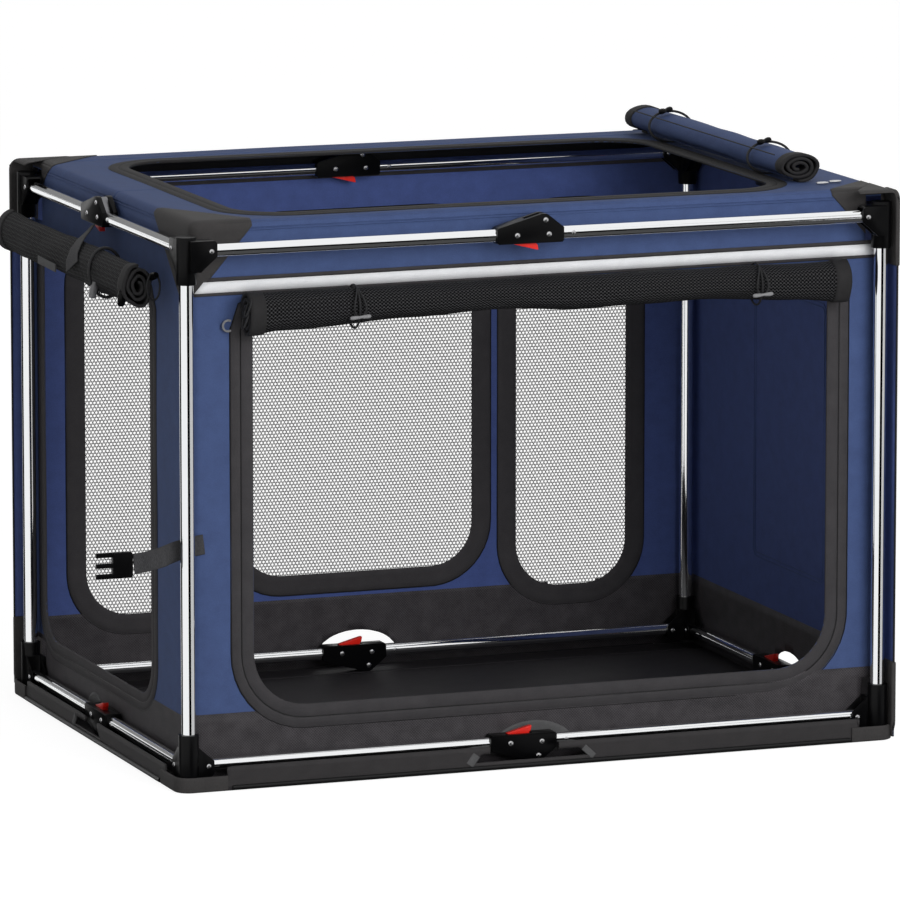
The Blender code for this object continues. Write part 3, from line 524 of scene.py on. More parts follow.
# The cloth's inner face is a lighter, bluer copy of the navy: painted light that lifts the shaded inside of
# the crate.
navy_painted_light_inside = woven("navy_oxford_painted_light_inside", srgb(70, 86, 140), srgb(58, 71, 118), 0.75, 0.7 * MM)
dotted = woven("dotted_band", srgb(70, 67, 70), srgb(34, 33, 35), 0.6, 1.7 * MM, 0.8, 0.16)
patch_grey = woven("patch_cloth", srgb(60, 58, 58), srgb(46, 45, 45), 0.7, 0.45 * MM)
dark_tape = woven("dark_tape", srgb(42, 41, 42), srgb(30, 30, 31), 0.8, 0.5 * MM)
piping_black = woven("piping_cord", srgb(24, 24, 25), srgb(14, 14, 15), 0.6, 0.4 * MM)


def sheet_bmesh(low, high, cell=CELL):
    """Flat grid of cloth between two corners in a wall's own frame."""
    width, height = high[0] - low[0], high[1] - low[1]
    columns, rows = max(2, round(width / cell)), max(2, round(height / cell))
    bm = bmesh.new()
    bmesh.ops.create_grid(bm, x_segments=columns, y_segments=rows, size=0.5)
    for vert in bm.verts:
        vert.co = Vector((low[0] + (vert.co.x + 0.5) * width, low[1] + (vert.co.y + 0.5) * height, 0))
    lay_weave(bm)
    return bm


def weave_layer(bm):
    """The UV map that the woven materials read."""
    return bm.loops.layers.uv.get("weave") or bm.loops.layers.uv.new("weave")


def lay_weave(bm):
    """UVs in metres from the flat cloth's own coordinates."""
    weave = weave_layer(bm)
    for face in bm.faces:
        for loop in face.loops:
            loop[weave].uv = loop.vert.co.xy


def gap_to_round(hole):
    """Distance of a point from (left, bottom, right, top, radius, upper radius), negative inside."""
    left, bottom, right, top = hole[:4]
    half_x, half_y = (right - left) / 2, (top - bottom) / 2

    def gap(spot):
        radius = hole[4] if spot.y < (bottom + top) / 2 else hole[-1]
        along = abs(spot.x - (left + right) / 2) - half_x + radius
        up = abs(spot.y - (bottom + top) / 2) - half_y + radius
        return math.hypot(max(along, 0), max(up, 0)) + min(max(along, up), 0) - radius

    return gap


def gap_to_moon(middle, half_width, bottom, top):
    """Distance of a point from a half-moon that stands on its straight edge."""

    def gap(spot):
        along, up = (spot.x - middle) / half_width, (spot.y - bottom) / (top - bottom)
        return max((math.hypot(along, up) - 1) * (top - bottom), bottom - spot.y)

    return gap


def cut_lines(bm, xs=(), ys=()):
    """Cuts flat cloth along straight lines, without opening it."""
    for values, axis in ((xs, Vector((1, 0, 0))), (ys, Vector((0, 1, 0)))):
        for value in values:
            everything = [*bm.verts, *bm.edges, *bm.faces]
            bmesh.ops.bisect_plane(bm, geom=everything, dist=0.02 * MM, plane_co=axis * value, plane_no=axis)


def cut_shape(bm, gap, keep_outside=True):
    """Cuts a hole in flat cloth, or trims it to a shape, and draws the new edge onto the outline."""
    sign = 1 if keep_outside else -1
    rim = {vert for vert in bm.verts if vert.is_boundary}
    gone = [face for face in bm.faces if sign * gap(face.calc_center_median()) < 0]
    bmesh.ops.delete(bm, geom=gone, context="FACES")
    step = 0.05 * MM
    right, up = Vector((step, 0, 0)), Vector((0, step, 0))
    for vert in bm.verts:
        if vert.is_boundary and (vert not in rim or not keep_outside):
            spot = vert.co.copy()
            slope = Vector((gap(spot + right) - gap(spot - right),
                            gap(spot + up) - gap(spot - up), 0)) / (2 * step)
            if slope.length > 0.2 and abs(gap(spot)) < 1.5 * CELL:
                vert.co -= slope * gap(spot) / slope.length_squared
    bmesh.ops.remove_doubles(bm, verts=bm.verts, dist=0.2 * MM)


def cut_hole(bm, hole):
    """Cuts a round-cornered hole."""
    left, bottom, right, top = hole[:4]
    for radius in hole[4:]:
        cut_lines(bm, (left, left + radius, right - radius, right),
                  (bottom, bottom + radius, top - radius, top))
    cut_shape(bm, gap_to_round(hole))


def cut_moon(bm, middle, half_width, bottom, top):
    """Cuts a half-moon hand hole."""
    xs = [middle + half_width * share for share in (-1, -0.85, -0.6, -0.3, 0, 0.3, 0.6, 0.85, 1)]
    cut_lines(bm, xs, [bottom + (top - bottom) * share for share in (0, 0.33, 0.66, 1)])
    cut_shape(bm, gap_to_moon(middle, half_width, bottom, top))


def cut_away(bm, wanted_gone):
    """Cuts away the faces whose middle answers the test."""
    gone = [face for face in bm.faces if wanted_gone(face.calc_center_median())]
    bmesh.ops.delete(bm, geom=gone, context="FACES")


def pucker(bm, amount, seed, grain=5.0):
    """Soft unevenness out of the cloth's plane."""
    for vert in bm.verts:
        vert.co.z += amount * noise.noise(vert.co * grain + Vector((seed, seed * 1.7, seed)))


def thicken(made, thickness, offset=0.0):
    """Gives cloth its thickness, and its second material on the back."""
    thick = made.modifiers.new("thickness", "SOLIDIFY")
    thick.thickness, thick.offset = thickness, offset
    thick.material_offset = len(made.data.materials) - 1


def fold(made, joint):
    """Gives cloth a mesh of its own, whichever the joint."""
    if joint == "fold_width":
        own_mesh(made)
    else:
        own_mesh(made)


def sew(name, bm, wall, look, nodes=(), thickness=CLOTH):
    """Puts flat cloth into its wall's plane, onto the wall's body."""
    side, body, joint, keep = WALLS[wall]
    bmesh.ops.transform(bm, matrix=side, verts=bm.verts)
    made = add_piece(name, bm, look, body, nodes, 50)
    if thickness:
        thicken(made, thickness)
    fold(made, joint)
    if not nodes:
        sewn[wall].append(made)
    return made


STRIPS = {
    "top": ("front_left", "rail_top_left_front", "rail_top_left_rear", "rear_left"),
    "bottom": ("front_left", "rail_bottom_left_front", "rail_bottom_left_rear", "rear_left"),
}


def sew_in_strips(name, bm, level, look, nodes=(), thickness=CLOTH):
    """Puts roof or base cloth into its plane in up to four strips, which fold with the left-hand rails."""
    lines = (-1, -PIVOT_Y, 0, PIVOT_Y, 1)
    made = []
    for start, stop, body in zip(lines, lines[1:], STRIPS[level]):
        part = bm.copy()
        for value, outward in ((start, -1), (stop, 1)):
            everything = [*part.verts, *part.edges, *part.faces]
            bmesh.ops.bisect_plane(
                part, geom=everything, plane_co=(0, value, 0), plane_no=(0, outward, 0), clear_outer=True
            )
        if not part.faces:
            part.free()
            continue
        bmesh.ops.transform(part, matrix=ROOF if level == "top" else BASE, verts=part.verts)
        strip = add_piece(f"{name}_{body}", part, look, body, nodes, 50)
        if thickness:
            thicken(strip, thickness)
        fold(strip, "fold_width")
        made.append(strip)
        if not nodes:
            sewn["roof" if level == "top" else "base"].append(strip)
    bm.free()
    return made


def rounded_path(hole, count):
    """count points and outward directions round a round-cornered hole, evenly spaced, and its length."""
    left, bottom, right, top = hole[:4]
    low, high = hole[4], hole[-1]
    corners = (
        (right, top, -1, -1, high),
        (left, top, 1, -1, high),
        (left, bottom, 1, 1, low),
        (right, bottom, -1, 1, low),
    )
    runs = []
    for k, (x, y, sx, sy, radius) in enumerate(corners):
        centre = Vector((x + sx * radius, y + sy * radius, 0))
        runs.append((centre, float(radius), k * math.pi / 2, radius * math.pi / 2))
        x, y, sx, sy, radius = corners[(k + 1) % 4]
        turn = (k + 1) * math.pi / 2
        start = centre + Vector((math.cos(turn), math.sin(turn), 0)) * runs[-1][1]
        end = (Vector((x + sx * radius, y + sy * radius, 0))
               + Vector((math.cos(turn), math.sin(turn), 0)) * radius)
        runs.append((start, end, turn, (end - start).length))
    total = sum(run[3] for run in runs)
    spots = []
    for k in range(count):
        along = total * k / count
        for first, last, angle, length in runs:
            if along <= length:
                break
            along -= length
        if isinstance(last, float):
            angle += along / last
        out = Vector((math.cos(angle), math.sin(angle), 0))
        spots.append((first + out * last if isinstance(last, float)
                      else first.lerp(last, along / length), out))
    return spots, total


def tape_bmesh(spots, total, section):
    """Closed tape along a path: section gives (out from the path, out of the wall) round the tape."""
    count, parts = len(spots), len(section)
    bm = bmesh.new()
    bmesh.ops.create_grid(bm, x_segments=count, y_segments=parts, size=0.5)
    weave = weave_layer(bm)
    steps = [(Vector(a) - Vector(b)).length for a, b in zip(section, section[1:] + section[:1])]
    girth = [sum(steps[:k]) for k in range(parts + 1)]
    for face in bm.faces:
        for loop in face.loops:
            part = round((loop.vert.co.y + 0.5) * parts)
            loop[weave].uv = ((loop.vert.co.x + 0.5) * total, girth[part])
    for vert in bm.verts:
        spot, out = spots[round((vert.co.x + 0.5) * count) % count]
        step, rise = section[round((vert.co.y + 0.5) * parts) % parts]
        vert.co = spot + out * step + Vector((0, 0, rise))
    bmesh.ops.remove_doubles(bm, verts=bm.verts, dist=0.001 * MM)
    bmesh.ops.recalc_face_normals(bm, faces=bm.faces)
    return bm


def binding_section(inner, outer, half, line=None):
    """Folded tape from inner to outer, thicker over the cloth's edge, with a groove at line."""
    span = outer - inner
    front = [(inner + 0.2 * MM, 0.6 * half), (inner + 0.9 * MM, half), (inner + 0.3 * span, 0.95 * half)]
    if line:
        front += [(line - 1.2 * MM, 0.9 * half), (line, 0.45 * half), (line + 1.2 * MM, 0.9 * half)]
    front += [(outer - 0.3 * span, 0.85 * half), (outer - 1.0 * MM, 0.8 * half), (outer, 0.3 * half)]
    return [(inner - 0.3 * MM, 0)] + front + [(step, -rise) for step, rise in front[::-1]]


def cord_bmesh(path, radius, closed=False, sides=8, flat=None, across=None, widths=None):
    """Cord along points, or a strap of half width radius and half thickness flat that lies along across."""
    points = [Vector(p) for p in path]
    count = len(points)
    columns = count if closed else count - 1
    lengths = [0.0]
    for a, b in zip(points, points[1:] + points[:1]):
        lengths.append(lengths[-1] + (b - a).length)
    frames, side = [], Vector(across or (0, 0, 0))
    for k, point in enumerate(points):
        before = points[k - 1] if k or closed else point
        after = points[(k + 1) % count] if k < count - 1 or closed else point
        along = (after - before).normalized()
        if side.length < 0.5 or abs(side.dot(along)) > 0.98:
            side = along.orthogonal().normalized()
        if across:
            side = Vector(across)
        side = (side - along * side.dot(along)).normalized()
        frames.append((side, along.cross(side)))
    bm = bmesh.new()
    bmesh.ops.create_grid(bm, x_segments=columns, y_segments=sides, size=0.5)
    weave = weave_layer(bm)
    girth = 2 * math.pi * radius if not flat else 4 * radius
    for face in bm.faces:
        for loop in face.loops:
            spot = loop.vert.co
            loop[weave].uv = (lengths[round((spot.x + 0.5) * columns)], (spot.y + 0.5) * girth)
    for vert in bm.verts:
        k = round((vert.co.x + 0.5) * columns) % count
        angle = 2 * math.pi * (round((vert.co.y + 0.5) * sides) % sides) / sides
        a, b = math.cos(angle), math.sin(angle)
        if flat:
            a, b = math.copysign(abs(a) ** 0.35, a), math.copysign(abs(b) ** 0.6, b) * flat / radius
        side, up = frames[k]
        wide = widths[k] if widths else 1
        vert.co = points[k] + (side * a * wide + up * b) * radius
    bmesh.ops.remove_doubles(bm, verts=bm.verts, dist=0.001 * MM)
    if not closed:
        rims = [edge for edge in bm.edges if edge.is_boundary]
        bmesh.ops.holes_fill(bm, edges=rims, sides=0)
    bmesh.ops.recalc_face_normals(bm, faces=bm.faces)
    return bm


def joined(*parts):
    """One bmesh of several."""
    whole = parts[0]
    for part in parts[1:]:
        mesh = bpy.data.meshes.new("part")
        part.to_mesh(mesh)
        part.free()
        whole.from_mesh(mesh)
        bpy.data.meshes.remove(mesh)
    return whole


BINDING_HALF = 1.9 * MM


def rim_cords(spots, outer):
    """Thin cords on both faces along the outer edge of a binding."""
    rim = [spot + out * outer for spot, out in spots]
    return joined(*[cord_bmesh([p + Vector((0, 0, z)) for p in rim], 0.8 * MM, True, 6)
                    for z in (0.7 * MM, -0.7 * MM)])


def sew_binding(name, hole, inner, outer, wall, look, line=None, count=200):
    """Folded tape over a hole's edge, with a thin black cord along its outer edge."""
    spots, total = rounded_path(hole, count)
    sew(name, tape_bmesh(spots, total, binding_section(inner, outer, BINDING_HALF, line)), wall, look,
        thickness=0)
    sew("cord_" + name, rim_cords(spots, outer + 0.4 * MM), wall, piping_black, thickness=0)


def sew_zip(name, hole, line, wall):
    """Coil zip in the groove of a binding: two fine rows of teeth."""
    spots, total = rounded_path(hole, 320)
    rows = []
    for step in (-0.5 * MM, 0.5 * MM):
        row = [spot + out * (line + step) + Vector((0, 0, BINDING_HALF * 0.55)) for spot, out in spots]
        rows.append(cord_bmesh(row, 0.55 * MM, True, 6))
    sew(name, joined(*rows), wall, zip_teeth, thickness=0)


zip_teeth = Look("zip_teeth", srgb(22, 22, 23), 0.4)
zip_uv = zip_teeth.node("UVMap", uv_map="weave")
zip_along = zip_teeth.node("SeparateXYZ", [("Vector", (zip_uv, 0))])
zip_wave = zip_teeth.math("SINE", zip_teeth.math("MULTIPLY", (zip_along, 0), 2 * math.pi / (1.4 * MM)))
# The teeth are painted lighter on their crests and darker between them: painted shade of their relief, along
# with the bump.
zip_teeth.tint(zip_wave, srgb(12, 12, 13), srgb(34, 34, 35))
zip_teeth.spread(zip_wave, 0.35, 0.55)
zip_teeth.bump(zip_wave, 0.0003, 0.6)

# Front wall
# Navy oxford cloth with a large doorway whose edge is bound with wide grey tape that carries the zip.
# A dark coated band protects its foot, and its left end bends round the crate's corner.

FRONT_DOOR = (-351.1 * MM, 90 * MM, 379.7 * MM, 555 * MM, 65 * MM, 8 * MM)
FRONT_BINDING, FRONT_ZIP = 28 * MM, 15.4 * MM
FRONT_START, FRONT_END = LEFT_X + ROUND - ROUND * math.pi / 2, 454.5 * MM
SLIT_X, SLIT_LOW, SLIT_HIGH = 428.7 * MM, 72 * MM, 598 * MM
BAND_TOP, INNER_BAND_TOP, BAND_THICK = 85.5 * MM, 93.5 * MM, 2.6 * MM


def front_bmesh(top, unevenness):
    """Front wall's cloth up to a height, cut for the doorway and for the right-hand rails."""
    bm = sheet_bmesh((FRONT_START, WALL_LOW), (FRONT_END, top))
    cut_hole(bm, FRONT_DOOR)
    cut_lines(bm, (SLIT_X,), (SLIT_LOW, SLIT_HIGH))
    cut_away(bm, lambda spot: spot.x > SLIT_X and not SLIT_LOW < spot.y < SLIT_HIGH)
    cut_lines(bm, [LEFT_X + ROUND * share for share in (1, 0.75, 0.5, 0.25, 0, -0.25)])
    pucker(bm, unevenness, seed=3.0)
    start = LEFT_X + ROUND
    for vert in bm.verts:
        beyond = start - vert.co.x
        if beyond > 0:
            reach = ROUND + vert.co.z
            angle = beyond / ROUND
            vert.co.x, vert.co.z = start - reach * math.sin(angle), reach * math.cos(angle) - ROUND
    return bm


bm = front_bmesh(TOP_SEAM, 0.9 * MM)
front_wall = sew("front_cloth", bm, "front", [navy, navy_painted_light_inside], ["wall_front"])
sew_binding("front_binding", FRONT_DOOR, 0, FRONT_BINDING, "front", grey, line=FRONT_ZIP)
sew_zip("front_zip", FRONT_DOOR, FRONT_ZIP, "front")
sew("front_foot_band", front_bmesh(BAND_TOP, 0.5 * MM), "front", dotted,
    thickness=BAND_THICK)

# White band
# A white reflective band is sewn across the front wall above the doorway, between two narrow grey tapes.
# It climbs a little to the right, and its left end is cut slanting.

white_tape = woven("white_reflective", srgb(226, 227, 229), srgb(212, 213, 216), 0.45, 0.4 * MM, 0.15)
BAND_RISE, BAND_END, BAND_OUT = 3.5 * MM, 453.5 * MM, 1.1 * MM


def sloped_strip(start, low, high, cut):
    """Strip on the front wall that climbs along its length, with its left end cut slanting."""
    bm = sheet_bmesh((start, low), (BAND_END, high), 9 * MM)
    for vert in bm.verts:
        share = (vert.co.x - start) / (BAND_END - start)
        vert.co.x += cut * (1 - share) * (vert.co.y - low) / (high - low)
        vert.co.y += BAND_RISE * share
    pucker(bm, 0.9 * MM, seed=3.0)
    bmesh.ops.translate(bm, verts=bm.verts, vec=(0, 0, BAND_OUT))
    return bm


for name, look, start, low, high, cut, thickness in (
    ("white_band", white_tape, -423 * MM, 587 * MM, 600 * MM, 11 * MM, 1.1 * MM),
    ("tape_over_band", grey, -408 * MM, 600.2 * MM, 604.8 * MM, 3 * MM, 1.6 * MM),
    ("tape_under_band", grey, -423 * MM, 583.4 * MM, 586.9 * MM, 0.0, 1.6 * MM),
):
    sew(name, sloped_strip(start, low, high, cut), "front", look, thickness=thickness)

# Half-moon flap of the front wall
# A flap of pale grey cloth, sewn to the wall's foot band behind the bottom lock, over the hole for a hand
# that works the lever.

moon_grey = woven("moon_cloth", srgb(84, 84, 85), srgb(70, 70, 71), 0.7, 0.5 * MM)
FLAP_OUT, FLAP_THICK = 1.6 * MM, 0.8 * MM


def moon_bmesh(middle, half_width, bottom, top):
    """Half-moon flap over a lock's hand hole."""
    bm = sheet_bmesh((middle - half_width, bottom), (middle + half_width, top), 3 * MM)
    cut_shape(bm, gap_to_moon(middle, half_width, bottom, top), keep_outside=False)
    for vert in bm.verts:
        vert.co.z = FLAP_OUT
    return bm


sew("front_moon", moon_bmesh(1 * MM, 56 * MM, 12 * MM, 50 * MM), "front", moon_grey, thickness=FLAP_THICK)

# Rear wall
# Navy oxford cloth with three tall mesh windows, each bound with dark tape, and a half-moon hand hole
# low down.
# It lies outside the frame and runs past both rear posts. Inside, a hem runs along its head, with a black
# strip above it that is painted shade of the wall's inner head.

REAR_WINDOWS = {
    "left": (213 * MM, 89 * MM, 369 * MM, 565 * MM, 58 * MM),
    "middle": (-159 * MM, 124 * MM, 159 * MM, 565 * MM, 58 * MM),
    "right": (-369 * MM, 89 * MM, -213 * MM, 565 * MM, 58 * MM),
}
WINDOW_TUCK = {"left": 8 * MM, "middle": 1 * MM, "right": 1 * MM}
REAR_START, REAR_END = -457.0 * MM, 452.7 * MM
MOON_HALF, MOON_LOW, MOON_HIGH = 55 * MM, 16 * MM, 49 * MM
HEAD_START, HEAD_END, HEAD_IN = -449 * MM, 417 * MM, -1.9 * MM

bm = sheet_bmesh((REAR_START, WALL_LOW), (REAR_END, TOP_SEAM))
for hole in REAR_WINDOWS.values():
    cut_hole(bm, hole)
cut_moon(bm, 0, MOON_HALF, MOON_LOW, MOON_HIGH)
pucker(bm, 0.9 * MM, seed=8.0)
rear_wall = sew("rear_cloth", bm, "rear", [navy, navy_painted_light_inside], ["wall_rear"])
bm = sheet_bmesh((REAR_START, WALL_LOW), (REAR_END, INNER_BAND_TOP))
for window in ("left", "right"):
    cut_hole(bm, REAR_WINDOWS[window])
cut_moon(bm, 0, MOON_HALF, MOON_LOW, MOON_HIGH)
sew("rear_foot_band", bm, "rear", dotted, thickness=BAND_THICK)
# The black strip is painted shade along the inside of the wall's head.
for name, look, low, high in (
    ("rear_inner_painted_shade", piping_black, 641 * MM, 661 * MM),
    ("rear_inner_hem", grey, 628 * MM, 640.6 * MM),
):
    bm = sheet_bmesh((HEAD_START, low), (HEAD_END, high))
    bmesh.ops.translate(bm, verts=bm.verts, vec=(0, 0, HEAD_IN))
    sew(name, bm, "rear", look, thickness=1.6 * MM)
for window, (low_x, low_z, high_x, high_z, curve) in REAR_WINDOWS.items():
    path = (low_x + 1 * MM, low_z - 2 * MM, high_x - WINDOW_TUCK[window], high_z, curve)
    sew_binding("rear_binding_" + window, path, -2 * MM, 23 * MM, "rear", grey, count=160)

# Window nets
# Black knitted net with staggered six-sided holes, one piece to a window, stretched flat and sewn to the
# wall a little past the window's edge, under its binding.

NET_PITCH, NET_HOLE, NET_LAP = 4.75 * MM, 2.9 * MM, 9 * MM
net_black = Look("black_net", srgb(30, 30, 31), 0.6)
fibre = net_black.node("TexNoise", [("Scale", 1500.0), ("Detail", 3.0)])
net_black.tint((fibre, 0), srgb(22, 22, 23), srgb(48, 48, 50))
net_black.spread((fibre, 0), 0.5, 0.75)
net_black.bump((fibre, 0), 0.0001, 0.6)


def net_bmesh(hole):
    """Knitted net with staggered six-sided holes over a window and a little past its edge."""
    radius = NET_PITCH / math.sqrt(3)
    unit = bmesh.new()
    for shift, rise in ((0, 0), (NET_PITCH / 2, 1.5 * radius)):
        spot = Matrix.Translation((hole[0] - NET_LAP + shift, hole[1] - NET_LAP + rise, 0))
        bmesh.ops.create_circle(
            unit, cap_ends=True, segments=6, radius=radius, matrix=spot @ Matrix.Rotation(math.pi / 6, 4, "Z")
        )
    cells = list(unit.faces)
    for cell in cells:
        bmesh.ops.inset_region(unit, faces=[cell], thickness=(NET_PITCH - NET_HOLE) / 2, use_boundary=True)
    bmesh.ops.delete(unit, geom=cells, context="FACES")
    mesh = bpy.data.meshes.new("net_unit")
    unit.to_mesh(mesh)
    unit.free()
    holder = bpy.data.objects.new("net_unit", mesh)
    bpy.context.collection.objects.link(holder)
    spans = (((NET_PITCH, 0, 0), hole[2] - hole[0]), ((0, 3 * radius, 0), hole[3] - hole[1]))
    for offset, span in spans:
        rows = holder.modifiers.new("rows", "ARRAY")
        rows.use_relative_offset, rows.use_constant_offset = False, True
        rows.constant_offset_displace = offset
        rows.count = math.ceil((span + 2 * NET_LAP) / max(offset))
    bm = bmesh.new()
    bm.from_object(holder, bpy.context.evaluated_depsgraph_get())
    bpy.data.objects.remove(holder)
    bmesh.ops.remove_doubles(bm, verts=bm.verts, dist=0.05 * MM)
    gap = gap_to_round(hole)
    cut_away(bm, lambda spot: gap(spot) > NET_LAP)
    lay_weave(bm)
    return bm


for window, hole in REAR_WINDOWS.items():
    bm = net_bmesh(hole)
    pucker(bm, 1.0 * MM, seed=11.0, grain=7.0)
    made = sew("net_" + window, bm, "rear", net_black, ["net_rear_" + window], thickness=0)
    width, height = hole[2] - hole[0] + 2 * NET_LAP, hole[3] - hole[1] + 2 * NET_LAP

# Left wall
# Navy oxford cloth with a tall doorway bound like the front one, with a foot band and a half-moon flap.
# It lies just inside the left-hand posts, and its rear end has slits for the rear rails.

LEFT_DOOR = (-287.25 * MM, 77 * MM, 132.75 * MM, 558 * MM, 45 * MM, 8 * MM)
LEFT_BINDING, LEFT_ZIP = 22 * MM, 12 * MM
LEFT_SLIT = -286.35 * MM
LEFT_BAND_TOP = BAND_TOP - 8 * MM


def left_bmesh(top):
    """Left wall's cloth up to a height, cut for the doorway and for the rear rails."""
    bm = sheet_bmesh((-REAR_Y + 1 * MM, WALL_LOW), (-FRONT_Y - ROUND, top))
    cut_hole(bm, LEFT_DOOR)
    cut_lines(bm, (LEFT_SLIT,), (SLIT_LOW, SLIT_HIGH))
    cut_away(bm, lambda spot: spot.x < LEFT_SLIT and not SLIT_LOW < spot.y < SLIT_HIGH)
    return bm


bm = left_bmesh(TOP_SEAM)
pucker(bm, 0.9 * MM, seed=5.0)
left_wall = sew("left_cloth", bm, "left", [navy, navy_painted_light_inside], ["wall_left"])
sew_binding("left_binding", LEFT_DOOR, 0, LEFT_BINDING, "left", grey, line=LEFT_ZIP)
sew_zip("left_zip", LEFT_DOOR, LEFT_ZIP, "left")
sew("left_foot_band", left_bmesh(LEFT_BAND_TOP), "left", dotted, thickness=BAND_THICK)
sew("left_moon", moon_bmesh(-85 * MM, 34 * MM, 12 * MM, 44 * MM), "left", moon_grey, thickness=FLAP_THICK)

# Right wall
# Navy oxford cloth with a closed door panel, seen from inside as a faint stitched rectangle.
# It lies outside the right-hand posts and runs on past the front wall.

RIGHT_FRONT, RIGHT_REAR = -320.4 * MM, 330.6 * MM
PANEL = (-102 * MM, 158 * MM, 115 * MM, 498 * MM, 6 * MM)

bm = sheet_bmesh((RIGHT_FRONT, WALL_LOW), (RIGHT_REAR, TOP_SEAM))
cut_moon(bm, 0, MOON_HALF, MOON_LOW, MOON_HIGH)
pucker(bm, 0.9 * MM, seed=7.0)
right_wall = sew("right_cloth", bm, "right", [navy, navy_painted_light_inside], ["wall_right"])
bm = sheet_bmesh((RIGHT_FRONT, WALL_LOW), (RIGHT_REAR, INNER_BAND_TOP))
cut_moon(bm, 0, MOON_HALF, MOON_LOW, MOON_HIGH)
sew("right_foot_band", bm, "right", dotted, thickness=BAND_THICK)
spots, total = rounded_path(PANEL, 240)
seams = []
for step in (0, 5 * MM):
    for rise in (0.7 * MM, -0.7 * MM):
        path = [spot + out * step + Vector((0, 0, rise)) for spot, out in spots]
        seams.append(cord_bmesh(path, 0.5 * MM, True, 6))
sew("right_panel_seams", joined(*seams), "right", navy, thickness=0)

# Roof
# Navy oxford cloth over soft rounded edges, with a large bound opening whose flap is rolled up on the right.
# It lies over the top rails and folds down the middle with them.

ROOF_HOLE = (-345.3 * MM, -245.15 * MM, 336.8 * MM, 242.95 * MM, 60 * MM)
ROOF_BINDING, ROOF_ZIP = 24 * MM, 13 * MM
SPARE = ROUND * (math.pi / 2 - 1)


def roll_edges(bm):
    """Bends the roof's edges down round its rim."""
    for vert in bm.verts:
        x, y = vert.co.x, vert.co.y
        over_x = x - (RIGHT_X - ROUND) if x > RIGHT_X - ROUND else min(x - (LEFT_X + ROUND), 0)
        over_y = y - (REAR_Y - ROUND) if y > REAR_Y - ROUND else min(y - (FRONT_Y + ROUND), 0)
        over = math.hypot(over_x, over_y)
        if over > 0:
            angle = min(over / ROUND, math.pi / 2)
            reach = ROUND + vert.co.z
            flat = Vector((over_x, over_y, 0)) / over
            vert.co = Vector((x - over_x, y - over_y, 0)) + flat * reach * math.sin(angle)
            vert.co.z = reach * math.cos(angle) - ROUND


bm = sheet_bmesh((LEFT_X - SPARE, FRONT_Y - SPARE), (RIGHT_X + SPARE, REAR_Y + SPARE))
cut_hole(bm, ROOF_HOLE)
rim_steps = [ROUND * share for share in (1, 0.7, 0.4, 0.1, -0.2, -0.4)]
cut_lines(
    bm,
    [LEFT_X + step for step in rim_steps] + [RIGHT_X - step for step in rim_steps],
    [FRONT_Y + step for step in rim_steps] + [REAR_Y - step for step in rim_steps],
)
pucker(bm, 0.8 * MM, seed=2.0)
roll_edges(bm)
roof_strips = sew_in_strips("roof", bm, "top", [navy, navy_painted_light_inside], ["roof"])
spots, total = rounded_path(ROOF_HOLE, 220)
bm = tape_bmesh(spots, total, binding_section(0, ROOF_BINDING, BINDING_HALF, ROOF_ZIP))
sew_in_strips("roof_binding", bm, "top", dark_tape, thickness=0)
sew_in_strips("roof_binding_cord", rim_cords(spots, ROOF_BINDING + 0.4 * MM), "top", piping_black,
              thickness=0)

# Corner patches
# Dark grey cloth caps sewn over the cover's corners, puffed over its rounded edges. Each wraps the roof and
# both walls at its corner, and two are cut out where rails pass.

PROUD = 1.6 * MM
CAP_TOP, CAP_ROUND = ROOF_Z + PROUD, ROUND + PROUD
CAP_CELL, CAP_TIP, CAP_THICK = 4.5 * MM, 7 * MM, 1.0 * MM
CLEAR_OF_END = 6 * MM


def cap_face(bm, axes, lengths):
    """One face of a cap, as a grid over two axes, cut along its slanting hem."""
    size = max(lengths)
    count = round(size / CAP_CELL)
    start = set(bm.verts)
    bmesh.ops.create_grid(bm, x_segments=count, y_segments=count, size=0.5)
    fresh = [vert for vert in bm.verts if vert not in start]
    for vert in fresh:
        spot = [0.0, 0.0, 0.0]
        spot[axes[0]], spot[axes[1]] = (vert.co.x + 0.5) * size, (vert.co.y + 0.5) * size
        vert.co = spot
    normal = Vector((0, 0, 0))
    normal[axes[0]], normal[axes[1]] = 1 / lengths[0], 1 / lengths[1]
    on_hem = Vector((0, 0, 0))
    on_hem[axes[0]] = lengths[0]
    trims = [(on_hem, normal)]
    for axis, length in zip(axes, lengths):
        tip, along = Vector((0, 0, 0)), Vector((0, 0, 0))
        tip[axis], along[axis] = length - CAP_TIP, 1
        trims.append((tip, along))
    for spot, way in trims:
        verts = [vert for vert in bm.verts if vert not in start]
        edges = [edge for edge in bm.edges if edge.verts[0] not in start]
        faces = [face for face in bm.faces if face.verts[0] not in start]
        bmesh.ops.bisect_plane(bm, geom=[*verts, *edges, *faces], plane_co=spot, plane_no=way,
                               clear_outer=True)


def cap_bmesh(roof, front, side):
    """Cap round a corner: X and Y run along the crate's edges and Z down, and each pair is a hem's reach."""
    bm = bmesh.new()
    for axes, lengths in (((0, 1), roof), ((0, 2), front), ((1, 2), side)):
        if lengths:
            cap_face(bm, axes, lengths)
    for vert in bm.verts:
        inner = Vector([max(along, CAP_ROUND) for along in vert.co])
        out = vert.co - inner
        if out.length > 0:
            vert.co = inner + out.normalized() * CAP_ROUND
    bmesh.ops.remove_doubles(bm, verts=bm.verts, dist=0.3 * MM)
    weave = weave_layer(bm)
    for face in bm.faces:
        drop = max(range(3), key=lambda axis: abs(face.normal[axis]))
        kept = [axis for axis in range(3) if axis != drop]
        for loop in face.loops:
            loop[weave].uv = (loop.vert.co[kept[0]], loop.vert.co[kept[1]])
    return bm


